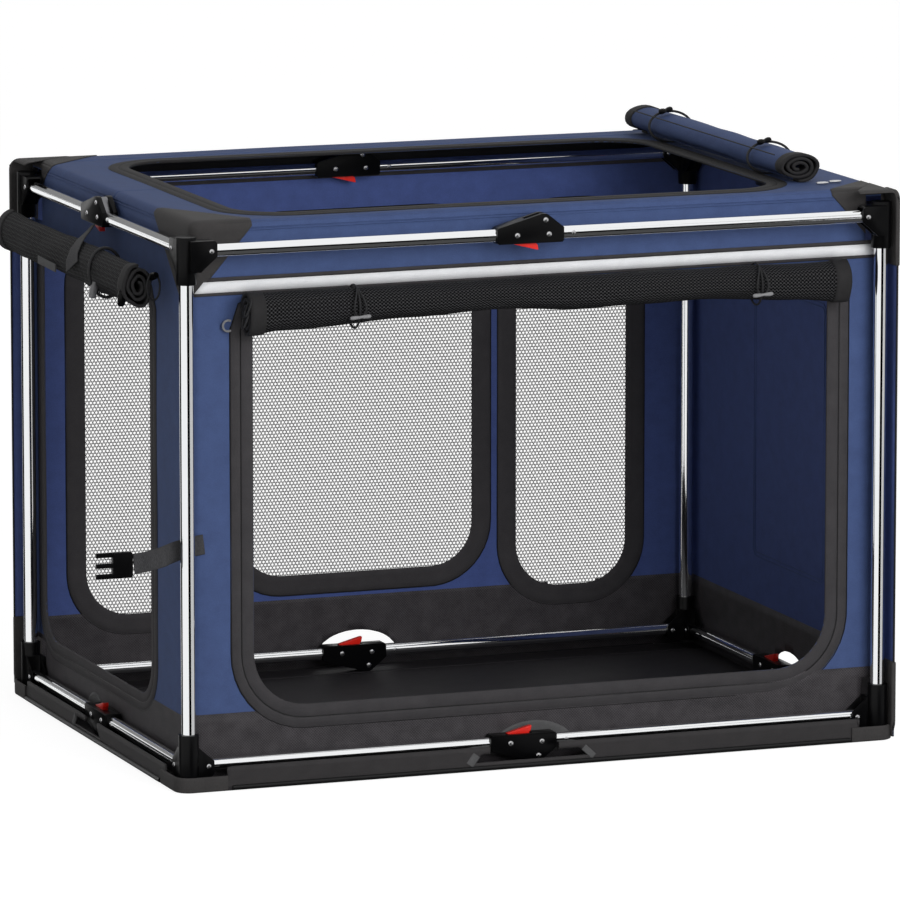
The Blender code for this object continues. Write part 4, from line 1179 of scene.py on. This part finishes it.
def add_cap(name, corner, roof, front, side, body, joint):
    """Cap at a corner of the cover; corner gives its place, and its signs say which corner it is."""
    bm = cap_bmesh(roof, front, side)
    spot = Vector(corner)
    flip = Matrix.Diagonal((-math.copysign(1, spot.x), -math.copysign(1, spot.y),
                            -1 if spot.z > 0.3 else 1, 1))
    bmesh.ops.transform(bm, matrix=Matrix.Translation(spot) @ flip, verts=bm.verts)
    bmesh.ops.recalc_face_normals(bm, faces=bm.faces)
    middle = sum((face.calc_center_median() for face in bm.faces), Vector()) / len(bm.faces)
    biggest = max(bm.faces, key=lambda face: face.calc_area())
    if biggest.normal.dot(middle - Vector((0, 0, 0.33))) < 0:
        bmesh.ops.reverse_faces(bm, faces=bm.faces)
    made = add_piece(name, bm, patch_grey, body, smooth=60)
    thicken(made, CAP_THICK, -1)
    fold(made, joint)
    sewn["roof"].append(made)
    return made


def add_clipped_cap(name, corner, roof, front, side, body, joint, planes, gone):
    """Cap whose cloth is cut out where a rail passes."""
    made = add_cap(name, corner, roof, front, side, body, joint)
    bm = bmesh.new()
    bm.from_mesh(made.data)
    for spot, way in planes:
        bmesh.ops.bisect_plane(bm, geom=[*bm.verts, *bm.edges, *bm.faces], plane_co=spot, plane_no=way)
    cut_away(bm, gone)
    bm.to_mesh(made.data)
    bm.free()


add_cap(
    "patch_top_front_left", (LEFT_X - PROUD, FRONT_Y - PROUD, CAP_TOP),
    (83 * MM, 145 * MM), (83 * MM, 96 * MM), (145 * MM, 132 * MM), "front_left", "fold_depth",
)
add_clipped_cap(
    "patch_top_front_right", (RIGHT_X + PROUD, FRONT_Y - PROUD, CAP_TOP),
    (80 * MM, 70 * MM), (80 * MM, 88 * MM), (70 * MM, 92 * MM), "front_right", "fold_depth",
    [((SLIT_X, 0, 0), (1, 0, 0)), ((0, 0, SLIT_HIGH), (0, 0, 1))],
    lambda spot: SLIT_X < spot.x < RIGHT_X - CLEAR_OF_END and spot.y < FRONT_Y
    and SLIT_HIGH < spot.z < TOP_SEAM,
)
add_clipped_cap(
    "patch_top_rear_left", (LEFT_X - PROUD, REAR_Y + PROUD, CAP_TOP),
    (92 * MM, 84 * MM), (92 * MM, 90 * MM), (84 * MM, 70 * MM), "rear_left", "fold_depth",
    [((0, -LEFT_SLIT, 0), (0, 1, 0)), ((0, 0, SLIT_HIGH), (0, 0, 1))],
    lambda spot: -LEFT_SLIT < spot.y < REAR_Y - CLEAR_OF_END and spot.x < LEFT_X
    and SLIT_HIGH < spot.z < TOP_SEAM,
)
add_cap(
    "patch_top_rear_right", (RIGHT_X + PROUD, REAR_Y + PROUD, CAP_TOP),
    (92 * MM, 84 * MM), (92 * MM, 90 * MM), (84 * MM, 90 * MM), "rear_right", "fold_depth",
)

# Sleeves and hoods
# The right and rear walls run on past the frame at its front right and rear left corners. Folded grey cloth
# sleeves cover those free ends at head and foot, and a hood joins each head to the roof.

FLANGE_FRONT, FLANGE_LEFT = -322.2 * MM, -454.6 * MM
SLEEVE_EDGE, SLEEVE_LEFT, HOOD_RISE = 2.0 * MM, 0.9, 0.5 * MM


def add_sleeve(name, low, high, body, joint, corner, radius):
    """Folded cloth sleeve over the free end of a wall, with one rounded corner."""
    bm = bmesh.new()
    bmesh.ops.create_cube(bm, size=1)
    low, high = Vector(low), Vector(high)
    for vert in bm.verts:
        vert.co = Vector([(low[k] + high[k]) / 2 + vert.co[k] * (high[k] - low[k]) for k in range(3)])
    thin = min(range(3), key=lambda k: high[k] - low[k])
    kept = [k for k in range(3) if k != thin]
    edges = [
        edge for edge in bm.edges
        if all(abs(vert.co[k] - corner[k]) < 0.1 * MM for vert in edge.verts for k in kept)
    ]
    bmesh.ops.bevel(
        bm, geom=edges, offset=radius, segments=6, profile=0.5, affect="EDGES", clamp_overlap=True,
        material=-1
    )
    weave = weave_layer(bm)
    for face in bm.faces:
        for loop in face.loops:
            loop[weave].uv = (loop.vert.co.x + loop.vert.co.y, loop.vert.co.z)
    edges = [edge for edge in bm.edges if edge.calc_face_angle(0) > 1]
    bmesh.ops.bevel(
        bm, geom=edges, offset=SLEEVE_EDGE, segments=3, profile=0.5, affect="EDGES", clamp_overlap=True,
        material=-1
    )
    made = add_piece(name, bm, patch_grey, body, smooth=60)
    fold(made, joint)
    sewn["right" if joint == "fold_depth" else "rear"].append(made)


for level, low, high, radius in (("top", 580 * MM, 671.4 * MM, 13 * MM), ("low", 3.2 * MM, 96 * MM, 20 * MM)):
    tip = high if level == "top" else low
    ends = (453.4 * MM, FLANGE_FRONT, low), (459.2 * MM, -284 * MM, high)
    add_sleeve(f"sleeve_{level}_front_right", *ends, "front_right", "fold_depth", (0, FLANGE_FRONT, tip),
               radius)
    ends = (FLANGE_LEFT, 329.8 * MM, low), (-418 * MM, 335.4 * MM, high)
    add_sleeve(f"sleeve_{level}_rear_left", *ends, "rear_left", "fold_width", (FLANGE_LEFT, 0, tip), radius)
add_cap(
    "hood_front_right", (RIGHT_X + PROUD, FLANGE_FRONT, CAP_TOP + HOOD_RISE),
    (58 * MM, 84 * MM), None, (84 * MM, 96 * MM), "front_right", "fold_depth",
)
add_cap(
    "hood_rear_left", (FLANGE_LEFT, REAR_Y + PROUD, CAP_TOP + HOOD_RISE),
    (84 * MM, 60 * MM), (84 * MM, 78 * MM), None, "rear_left", "fold_width",
)

# Seams and piping
# Thin piping is sewn into the cover's edges: navy cord along the roof's seam over each wall, and black cord
# up the free ends of the right and rear walls.

SEAM_Z, SEAM_OUT, SEAM_RADIUS = TOP_SEAM - 2 * MM, 0.5 * MM, 0.9 * MM
END_LOW, END_HIGH, END_RADIUS = 12 * MM, 664 * MM, 1.3 * MM
CORD_STEP = 20 * MM


def stepped(path, step):
    """Points about a step apart along a path."""
    points, spots = [Vector(p) for p in path], []
    for a, b in zip(points, points[1:]):
        steps = max(1, round((b - a).length / step))
        spots += [a.lerp(b, k / steps) for k in range(steps)]
    return [*spots, points[-1]]


def add_piping(name, path, wall, radius, look):
    """Piping along points of the crate's own frame, sewn to a wall."""
    side, body, joint, keep = WALLS[wall]
    fold(add_piece(name, cord_bmesh(stepped(path, CORD_STEP), radius), look, body, smooth=60), joint)


for wall, start, end in (
    ("front", (-418 * MM, FRONT_Y - SEAM_OUT), (428 * MM, FRONT_Y - SEAM_OUT)),
    ("left", (LEFT_X - SEAM_OUT, -277 * MM), (LEFT_X - SEAM_OUT, 286 * MM)),
    ("rear", (-449 * MM, REAR_Y + SEAM_OUT), (455 * MM, REAR_Y + SEAM_OUT)),
    ("right", (RIGHT_X + SEAM_OUT, -318 * MM), (RIGHT_X + SEAM_OUT, 329 * MM)),
):
    add_piping("seam_" + wall, [(*start, SEAM_Z), (*end, SEAM_Z)], wall, SEAM_RADIUS, navy)
for wall, end in (("right", (RIGHT_X, -320.8 * MM)), ("rear", (-453.2 * MM, REAR_Y))):
    add_piping(f"piping_{wall}_end", [(*end, END_LOW), (*end, END_HIGH)], wall, END_RADIUS, piping_black)

# Base
# Stiff coated sheet that the crate stands on, sewn to the feet of the walls. It folds up along its middle
# with the bottom side rails.

BASE_LEFT, BASE_FRONT, BASE_RIGHT, BASE_REAR = -456 * MM, -320.25 * MM, 457.8 * MM, 333.95 * MM
BASE_ROUND, BASE_THICK = 17 * MM, 3 * MM
base_black = woven("base_coating", srgb(30, 28, 31), srgb(24, 23, 25), 0.6, 1.2 * MM)
bm = sheet_bmesh((BASE_LEFT, BASE_FRONT), (BASE_RIGHT, BASE_REAR), 14 * MM)
corner_steps = [BASE_ROUND * share for share in (0.1, 0.3, 0.6, 1)]
cut_lines(
    bm,
    [BASE_LEFT + step for step in corner_steps] + [BASE_RIGHT - step for step in corner_steps],
    [BASE_FRONT + step for step in corner_steps] + [BASE_REAR - step for step in corner_steps],
)
cut_shape(bm, gap_to_round((BASE_LEFT, BASE_FRONT, BASE_RIGHT, BASE_REAR, BASE_ROUND)), keep_outside=False)
base_strips = sew_in_strips("base", bm, "bottom", base_black, ["base"], BASE_THICK)

# Lips of the base
# Low lips of grey cloth, turned up along the base's front and left edges and sewn to them. Each is notched
# at its bottom lock, and pale grey tape binds the notch's slanting ends.

lip_grey = woven("lip_cloth", srgb(52, 50, 51), srgb(40, 39, 40), 0.65, 0.8 * MM)
pale_tape = woven("pale_tape", srgb(84, 84, 85), srgb(70, 70, 71), 0.7, 0.5 * MM)
LIP_FOOT, LIP_END, LIP_THICK = 0.2 * MM, 10 * MM, 2.6 * MM
LEFT_LEAN, RIGHT_LEAN, LEAN_REACH = 9 * MM, -13 * MM, 26 * MM
TAPE_RISE = 1.2 * MM


def lip_bmesh(start, end, top, slots, open_from, open_to):
    """Upturned lip, open at the lock, with slanting ends and slots (left line, right line, foot, head)."""
    left_line, right_line, foot, head = slots
    bm = sheet_bmesh((start, LIP_FOOT), (end, top), 6 * MM)
    cut_lines(bm, (start + LIP_END, left_line, open_from, open_to, right_line, end - LIP_END), (foot, head))
    cut_away(bm, lambda spot: left_line < spot.x < right_line and foot < spot.y < head)
    cut_away(bm, lambda spot: open_from < spot.x < open_to and spot.y > foot)
    for vert in bm.verts:
        x, up = vert.co.x, vert.co.y / top
        share = min(1, max(0, (vert.co.y - foot) / (head - foot))) - 0.5
        for line, lean in ((left_line, LEFT_LEAN), (right_line, RIGHT_LEAN)):
            vert.co.x += lean * share * max(0, 1 - abs(x - line) / LEAN_REACH)
        if x < start + 0.5 * MM:
            vert.co.x += LIP_END * up
        if x > end - 0.5 * MM:
            vert.co.x -= LIP_END * up
    return bm


def slanting_tape(bottom, top, half_width, rise):
    """Short pale tape along a notch's slanting end."""
    bottom, top = Vector((*bottom, rise)), Vector((*top, rise))
    path = [bottom.lerp(top, k / 4) for k in range(5)]
    return cord_bmesh(path, half_width, sides=8, flat=0.8 * MM, across=(1, 0, 0))


for wall, start, end, out, top, slots, open_from, open_to in (
    ("front", -402 * MM, 418 * MM, 33.1 * MM, 28.5 * MM, (-81 * MM, 54.5 * MM, 10 * MM, 20 * MM), -68 * MM,
     22 * MM),
    ("left", -283 * MM, 276 * MM, 28.6 * MM, 25 * MM, (-76 * MM, 12 * MM, 8 * MM, 19 * MM), -40 * MM,
     12 * MM),
):
    bm = lip_bmesh(start, end, top, slots, open_from, open_to)
    for vert in bm.verts:
        vert.co.z = out
    sew(f"lip_{wall}", bm, wall, lip_grey, thickness=LIP_THICK)
    left_line, right_line, foot, head = slots
    low, rise = foot - 2 * MM, out + TAPE_RISE
    tapes = [slanting_tape((left_line - 11 * MM, low), (left_line - 2 * MM, head), 5 * MM, rise)]
    if wall == "front":
        tapes.append(slanting_tape((right_line + 12 * MM, low), (right_line - 1 * MM, head), 4 * MM, rise))
    sew(f"lip_tapes_{wall}", joined(*tapes), wall, pale_tape, thickness=0)

# Base corners and welts
# Caps of doubled grey cloth protect the base's four corners, and a coated black welt is sewn along each
# foot between them.

welt_black = woven("welt_coating", srgb(18, 18, 19), srgb(10, 10, 11), 0.34, 0.6 * MM)
CAP_MIDDLE, CAP_HALF, CAP_HALF_THICK = 9.2 * MM, 9 * MM, 1.9 * MM
# The welt is as deep as the whole dark band at the foot: partly the black welt itself, partly painted shade
# under the lips.
WELT_Z, WELT_OUT, WELT_RADIUS = 3.2 * MM, 0.2 * MM, 3.0 * MM


def add_base_corner(corner, reach_x, reach_y, joint):
    """Cap of doubled cloth round a corner of the base."""
    sx, sy = CORNERS[corner]
    edge_x = BASE_LEFT if sx < 0 else BASE_RIGHT
    edge_y = BASE_FRONT if sy < 0 else BASE_REAR
    path = [Vector((edge_x - sx * reach_x, edge_y, 0))]
    centre = Vector((edge_x - sx * BASE_ROUND, edge_y - sy * BASE_ROUND, 0))
    for k in range(9):
        angle = k / 8 * math.pi / 2
        path.append(centre + Vector((sx * math.sin(angle), sy * math.cos(angle), 0)) * BASE_ROUND)
    path.append(Vector((edge_x, edge_y - sy * reach_y, 0)))
    points = [spot + Vector((0, 0, CAP_MIDDLE)) for spot in stepped(path, 8 * MM)]
    bm = cord_bmesh(points, CAP_HALF, sides=16, flat=CAP_HALF_THICK, across=(0, 0, 1))
    made = add_piece("base_corner_" + corner, bm, patch_grey, corner, smooth=50)
    fold(made, joint)
    sewn["base"].append(made)


add_base_corner("front_left", 60 * MM, 66 * MM, "fold_width")
add_base_corner("front_right", 56 * MM, 40 * MM, "fold_depth")
add_base_corner("rear_left", 40 * MM, 56 * MM, "fold_width")
add_base_corner("rear_right", 50 * MM, 50 * MM, "fold_depth")
for wall, start, end in (
    ("front", (-390 * MM, BASE_FRONT - WELT_OUT), (400 * MM, BASE_FRONT - WELT_OUT)),
    ("left", (BASE_LEFT - WELT_OUT, -250 * MM), (BASE_LEFT - WELT_OUT, 275 * MM)),
    ("rear", (-414 * MM, BASE_REAR - WELT_OUT), (405 * MM, BASE_REAR - WELT_OUT)),
    ("right", (BASE_RIGHT - WELT_OUT, -278 * MM), (BASE_RIGHT - WELT_OUT, 282 * MM)),
):
    add_piping("welt_" + wall, [(*start, WELT_Z), (*end, WELT_Z)], wall, WELT_RADIUS, welt_black)

# Rolled front door
# The door is black mesh with dark bound ends, rolled up above its doorway into a flattened roll of three
# turns. Two elastic ties with grey toggles hold it, and loops and a hook hang at its left end.

MESH_PITCH, RIB_PITCH, RIB_SHARE = 4.8 * MM, 5.2 * MM, 0.22
door_mesh = Look("black_door_mesh", srgb(34, 34, 35), 0.6, Specular_IOR_Level=0.15)
mesh_uv = door_mesh.node("UVMap", uv_map="weave")
mesh_parts = door_mesh.node("SeparateXYZ", [("Vector", (mesh_uv, 0))])
diagonals = []
for way in ("ADD", "SUBTRACT"):
    slanting = door_mesh.math("MULTIPLY", door_mesh.math(way, (mesh_parts, 0), (mesh_parts, 1)),
                              math.pi / MESH_PITCH)
    diagonals.append(door_mesh.math("SINE", slanting))
holes = door_mesh.math("MULTIPLY", *diagonals)
ribs = door_mesh.math("SINE", door_mesh.math("MULTIPLY", (mesh_parts, 1), math.pi / RIB_PITCH))
rib_height = door_mesh.math("MULTIPLY", door_mesh.math("ABSOLUTE", ribs), RIB_SHARE)
lit = door_mesh.math("ADD", door_mesh.math("POWER", door_mesh.math("ABSOLUTE", holes), 0.8), rib_height)
# Colour runs from the threads' grey to near black in the holes and rib grooves that the bump sinks: painted
# shade of the roll's inner layers seen through the holes.
door_ramp = door_mesh.tint(lit, srgb(66, 66, 68), srgb(6, 6, 7))
door_ramp.color_ramp.elements[0].position, door_ramp.color_ramp.elements[1].position = 0.22, 0.52
door_mesh.spread(lit, 0.55, 0.85)
door_mesh.bump(lit, -0.0007, 0.9)

ROLL_TURNS, TURN_STEPS, STEP_LENGTH = 3, 28, 5.6 * MM
ROLL_INSET, ROLL_THICK = 1.3 * MM, 2.0 * MM
END_WIDTH, END_LAP, END_GROW, END_THICK = 18 * MM, 1.5 * MM, 0.6 * MM, 3.6 * MM


def roll_bmesh(outline, start, end, first_angle, wave, columns=60, grow=0.0):
    """Sheet rolled up flat: outline gives its middle (across, up) and half sizes at a place along it."""
    count = ROLL_TURNS * TURN_STEPS
    bm = bmesh.new()
    bmesh.ops.create_grid(bm, x_segments=columns, y_segments=count, size=0.5)
    weave = weave_layer(bm)
    for face in bm.faces:
        for loop in face.loops:
            spot = loop.vert.co
            loop[weave].uv = ((spot.x + 0.5) * (end - start), (spot.y + 0.5) * count * STEP_LENGTH)
    for vert in bm.verts:
        turn = (vert.co.y + 0.5) * count
        along = start + (vert.co.x + 0.5) * (end - start)
        middle_across, middle_up, half_across, half_up = outline(along)
        angle = first_angle + 2 * math.pi * turn / TURN_STEPS
        share = 1 - turn / TURN_STEPS / (ROLL_TURNS + 0.8)
        swell = 1 + wave * noise.noise(
            Vector((along * 14, math.cos(angle) * 1.3, math.sin(angle) * 1.3 + share * 2)))
        inset = ROLL_INSET - grow
        vert.co = Vector((
            middle_across + (half_across * share - inset) * math.cos(angle) * swell,
            middle_up + (half_up * share - inset) * math.sin(angle) * swell,
            along,
        ))
    return bm


def between(samples):
    """Smooth curve through (place, value) samples."""

    def value(along):
        if along <= samples[0][0]:
            return samples[0][1]
        for (a, low), (b, high) in zip(samples, samples[1:]):
            if along <= b:
                share = (along - a) / (b - a)
                return low + (high - low) * (3 * share ** 2 - 2 * share ** 3)
        return samples[-1][1]

    return value


ALONG_X = Matrix(((0, 0, 1, 0), (1, 0, 0, 0), (0, 1, 0, 0), (0, 0, 0, 1)))
ALONG_Y = Matrix(((1, 0, 0, 0), (0, 0, 1, 0), (0, 1, 0, 0), (0, 0, 0, 1)))


def add_roll(name, outline, start, end, first_angle, place, look, body, joint, node, wave):
    """A rolled door with its bound ends."""
    bm = roll_bmesh(outline, start, end, first_angle, wave)
    bmesh.ops.transform(bm, matrix=place, verts=bm.verts)
    area = sum(face.calc_area() for face in bm.faces)
    roll = add_piece(name, bm, look, body, [node], 60)
    thicken(roll, ROLL_THICK)
    fold(roll, joint)
    for side, a, b in (("start", start - END_LAP, start + END_WIDTH),
                       ("end", end - END_WIDTH, end + END_LAP)):
        bm = roll_bmesh(outline, a, b, first_angle, wave, 4, END_GROW)
        bmesh.ops.transform(bm, matrix=place, verts=bm.verts)
        tape = add_piece(f"{name}_edge_{side}", bm, dark_tape, body, smooth=60)
        thicken(tape, END_THICK)
        fold(tape, joint)


def add_fitting(name, bm, look, body, joint, smooth=60):
    """Small piece on a roll that folds with it."""
    fold(add_piece(name, bm, look, body, smooth=smooth), joint)


def add_tie(name, outline, along, place, body, joint, radius, tilt=0.0):
    """Elastic tie round a roll."""
    middle_across, middle_up, half_across, half_up = outline(along)
    path = []
    for k in range(28):
        angle = 2 * math.pi * k / 28
        path.append(place @ Vector((
            middle_across + (half_across + radius) * math.cos(angle),
            middle_up + (half_up + radius) * math.sin(angle),
            along + tilt * math.sin(angle),
        )))
    add_fitting(name, cord_bmesh(path, radius, True), elastic, body, joint)


def loop_points(centre, across, up, count=24):
    """Points of a loop about its centre, given in millimetres."""
    centre, across, up = Vector(centre), Vector(across), Vector(up)
    turns = [2 * math.pi * k / count for k in range(count)]
    return [(centre + across * math.cos(turn) + up * math.sin(turn)) * MM for turn in turns]


def turned_bmesh(profile, start, along, longer=1.0, wider=1.0):
    """Turned part about an axis, from (distance along, radius) in millimetres."""
    bm = bmesh.new()
    verts = [bm.verts.new((radius * wider * MM, 0, up * longer * MM)) for up, radius in profile]
    edges = [bm.edges.new(pair) for pair in zip(verts, verts[1:])]
    bmesh.ops.spin(
        bm, geom=[*verts, *edges], cent=(0, 0, 0), axis=(0, 0, 1), angle=2 * math.pi, steps=20, use_merge=True
    )
    bmesh.ops.remove_doubles(bm, verts=bm.verts, dist=0.01 * MM)
    bmesh.ops.recalc_face_normals(bm, faces=bm.faces)
    turned = Matrix.Translation(start) @ Vector(along).to_track_quat("Z", "Y").to_matrix().to_4x4()
    bmesh.ops.transform(bm, matrix=turned, verts=bm.verts)
    return bm


TOGGLE_BAR = [
    (-13, 0), (-13, 1.2), (-12, 2.1), (-9, 2.5), (-4, 2.2), (-2, 1.7),
    (2, 1.7), (4, 2.2), (9, 2.5), (12, 2.1), (13, 1.2), (13, 0),
]
toggle_grey = Look("toggle_plastic", srgb(120, 120, 122), 0.3)
toggle_grain = toggle_grey.node("TexNoise", [("Scale", 500.0), ("Detail", 3.0)])
toggle_grey.tint((toggle_grain, 0), srgb(96, 96, 98), srgb(140, 140, 142))
toggle_grey.spread((toggle_grain, 0), 0.24, 0.4)
toggle_grey.bump((toggle_grain, 0), 0.00003, 0.5)
elastic = woven("black_elastic", srgb(44, 44, 46), srgb(22, 22, 23), 0.6, 0.6 * MM)

FRONT_ROLL_Y, FRONT_ROLL_HIGH, FRONT_ROLL_HALF = -308.6 * MM, 590 * MM, 20.5 * MM
FRONT_ROLL_SAG = (
    (-356.3, 533.3), (-326.4, 537.2), (-163.2, 544.3), (-65.7, 549.4),
    (57, 543), (214.4, 547), (326.5, 538.9), (388.2, 534.6),
)
front_low = between([(x * MM, z * MM) for x, z in FRONT_ROLL_SAG])


def front_outline(along):
    low = front_low(along)
    return (FRONT_ROLL_Y, (FRONT_ROLL_HIGH + low) / 2, FRONT_ROLL_HALF, (FRONT_ROLL_HIGH - low) / 2)


add_roll(
    "front_roll", front_outline, -365.3 * MM, 392.8 * MM, 0.3, ALONG_X, door_mesh,
    "front_left", "fold_width", "roll_front", wave=0.1,
)


def on_front_roll(x, z, clear):
    """Point on the front roll's outer side."""
    middle_y, middle_z, half_y, half_z = front_outline(x)
    share = max(-1, min(1, (z - middle_z) / half_z))
    return Vector((x, middle_y - half_y * math.sqrt(1 - share ** 2) - clear, z))


for side, x in (("left", -233 * MM), ("right", 277 * MM)):
    add_tie("front_tie_" + side, front_outline, x, ALONG_X, "front_left", "fold_width", 1.3 * MM)
    drop = []
    for k in range(24):
        angle = 2 * math.pi * k / 24
        up = 572 * MM + 15.5 * MM * math.cos(angle)
        wide = 6.5 * MM * math.sin(angle) * (1 - 0.55 * math.cos(angle))
        drop.append(on_front_roll(x + wide, up, 2.4 * MM))
    add_fitting("front_loop_" + side, cord_bmesh(drop, 1.2 * MM, True), elastic, "front_left", "fold_width")
    bar = turned_bmesh(TOGGLE_BAR, on_front_roll(x, 556 * MM, 4.4 * MM), (1, 0, 0.06))
    add_fitting("front_toggle_" + side, bar, toggle_grey, "front_left", "fold_width", 40)
for k, (centre, wide, high) in enumerate((((-369, -322, 572), 5, 10), ((-370.5, -318, 560), 6, 12))):
    loop = cord_bmesh(loop_points(centre, (0, wide, 0), (4, 0, high)), 1.2 * MM, True)
    add_fitting(f"front_end_loop_{k}", loop, elastic, "front_left", "fold_width")
hook = []
for degrees in range(60, 320, 20):
    angle = math.radians(degrees)
    hook.append(Vector((-383 + 6.5 * math.cos(angle), -291, 548 + 6.5 * math.sin(angle))) * MM)
add_fitting("front_end_hook", cord_bmesh(hook, 1.4 * MM), toggle_grey, "front_left", "fold_width")

# Rolled left door
# Black mesh like the front door's, rolled up outside the frame. An elastic tie with barrel cord locks holds
# it, a webbing tab hangs over it from the roof, and a pale slip is sewn to its side.

LEFT_ROLL_X, LEFT_ROLL_Z, LEFT_ROLL_HALF_X, LEFT_ROLL_HALF_Z = -465.6 * MM, 587 * MM, 19 * MM, 27 * MM
TAB_POINTS = (
    (-449, 14, 630), (-453, 11, 627), (-458, 8, 623), (-468, 1, 617), (-478, -7, 608), (-485, -14, 597),
    (-487.2, -20, 586),
)
TAB_WIDTHS = (0.2, 0.25, 0.32, 0.52, 0.8, 1.05, 1.25)
LOCK_BARREL = [(-9, 0), (-9, 3.4), (-7, 4.6), (5, 4.6), (7, 3.6), (10, 3.4), (10, 0)]
webbing = woven("black_webbing", srgb(66, 66, 68), srgb(40, 40, 42), 0.7, 1.1 * MM, 0.8)


def left_outline(along):
    return (LEFT_ROLL_X, LEFT_ROLL_Z, LEFT_ROLL_HALF_X, LEFT_ROLL_HALF_Z)


add_roll(
    "left_roll", left_outline, -207.7 * MM, 291.7 * MM, math.pi / 2, ALONG_Y, door_mesh,
    "rear_left", "fold_depth", "roll_left", wave=0.16,
)
add_tie("left_tie", left_outline, -85 * MM, ALONG_Y, "rear_left", "fold_depth", 2.0 * MM, 5 * MM)
tab = [Vector(spot) * MM for spot in TAB_POINTS]
tab_bm = cord_bmesh(tab, 15 * MM, sides=16, flat=0.8 * MM, across=(0, 1, 0), widths=TAB_WIDTHS)
add_fitting("left_tab", tab_bm, webbing, "rear_left", "fold_depth", 50)
slip = [Vector((-485.8, y, 574 + 0.02 * y)) * MM for y in (118, 104, 90, 76, 62, 48)]
slip_bm = cord_bmesh(slip, 5 * MM, sides=12, flat=0.7 * MM, across=(0, 0, 1))
add_fitting("left_slip", slip_bm, pale_tape, "rear_left", "fold_depth", 50)
for k, (spot, along, look) in enumerate((
    ((-483, -90, 567), (0.3, 0.2, 1), toggle_grey),
    ((-449, -212, 599), (0.1, -1, 0.3), moulding),
    ((-484, -200, 573), (0, -0.2, 1), moulding),
)):
    barrel = turned_bmesh(LOCK_BARREL, Vector(spot) * MM, along)
    add_fitting(f"left_cord_lock_{k}", barrel, look, "rear_left", "fold_depth", 40)
loop = cord_bmesh(loop_points((-449, -214, 587), (8, 0, 0), (0, 0, 16)), 1.2 * MM, True)
add_fitting("left_end_loop", loop, elastic, "rear_left", "fold_depth")

# Rolled roof flap
# The roof's navy flap, rolled up along the opening's right side. Two elastic ties with black toggles hold
# it, and its zip's two steel pulls lie on the roof's front right corner.

ROOF_ROLL_X, ROOF_ROLL_Z, ROOF_ROLL_HALF_X, ROOF_ROLL_HALF_Z = 372.8 * MM, 690.3 * MM, 27.4 * MM, 17.6 * MM
FLAP_SEAM = [(350 * MM, y, 703.5 * MM) for y in (-190 * MM, 280 * MM)]


def roof_outline(along):
    return (ROOF_ROLL_X, ROOF_ROLL_Z, ROOF_ROLL_HALF_X, ROOF_ROLL_HALF_Z)


add_roll(
    "roof_roll", roof_outline, -212.1 * MM, 295.9 * MM, -math.pi / 2, ALONG_Y, navy,
    "rear_right", "fold_depth", "roll_roof", wave=0.07,
)
for k, y in enumerate((-120 * MM, 200 * MM)):
    add_tie(f"roof_tie_{k}", roof_outline, y, ALONG_Y, "rear_right", "fold_depth", 1.6 * MM, 5 * MM)
    bar = turned_bmesh(TOGGLE_BAR, (366 * MM, y, 711 * MM), (1, 0.4, 0.1), longer=0.8, wider=1.5)
    add_fitting(f"roof_toggle_{k}", bar, moulding, "rear_right", "fold_depth", 40)
seam_bm = cord_bmesh(stepped(FLAP_SEAM, CORD_STEP), 0.8 * MM)
add_fitting("roof_roll_seam", seam_bm, piping_black, "rear_right", "fold_depth")
for k, centre in enumerate(((392, -240, 673.6), (412, -232, 673.6))):
    pull = cord_bmesh(loop_points(centre, (7, 0, 0), (0, 4, 0), 20), 1.1 * MM, True)
    add_fitting(f"zip_pull_{k}", pull, rivet_steel, "rail_top_left_front", "fold_width")

# Strap and buckle
# Black webbing, folded over and stitched to the front wall's edge. It ends in the pronged half of a
# side-release buckle, which is moulded in one piece.

STRAP_HALF, STRAP_HALF_THICK, FOLD_OUT = 12 * MM, 0.75 * MM, -1.6 * MM
STRAP_SPOTS = (
    (-413.3, -288.2, 290), (-430, -288.6, 288), (-448, -288.6, 284), (-466, -288.4, 278), (-484, -288.2, 274),
    (-500, -288.2, 272.5),
)
strap_path = []
for a, b in zip(STRAP_SPOTS, STRAP_SPOTS[1:]):
    strap_path += [Vector(a).lerp(Vector(b), k / 4) * MM for k in range(4)]
strap_path.append(Vector(STRAP_SPOTS[-1]) * MM)
strap_bm = cord_bmesh(strap_path, STRAP_HALF, sides=16, flat=STRAP_HALF_THICK, across=(0, 0, 1))
strap = add_piece("loose_strap", strap_bm, webbing, "front_left", ["strap"], 50)
fold_path = [p + Vector((0, FOLD_OUT, 0)) for p in strap_path[-10:]]
fold_bm = cord_bmesh(fold_path, STRAP_HALF, sides=16, flat=STRAP_HALF_THICK, across=(0, 0, 1))
strap_fold = add_piece("strap_fold", fold_bm, webbing, "front_left", smooth=50)
prongs = moulded("buckle", 0.7 * MM, 3)
buckle_half = add_piece("buckle_half", prongs, moulding, "front_left", ["buckle"])

# Stretched cloth
# The cover's cloth is stretched over the frame.


for strips, place in ((roof_strips, "roof"), (base_strips, "base")):
    hem, *wide = strips
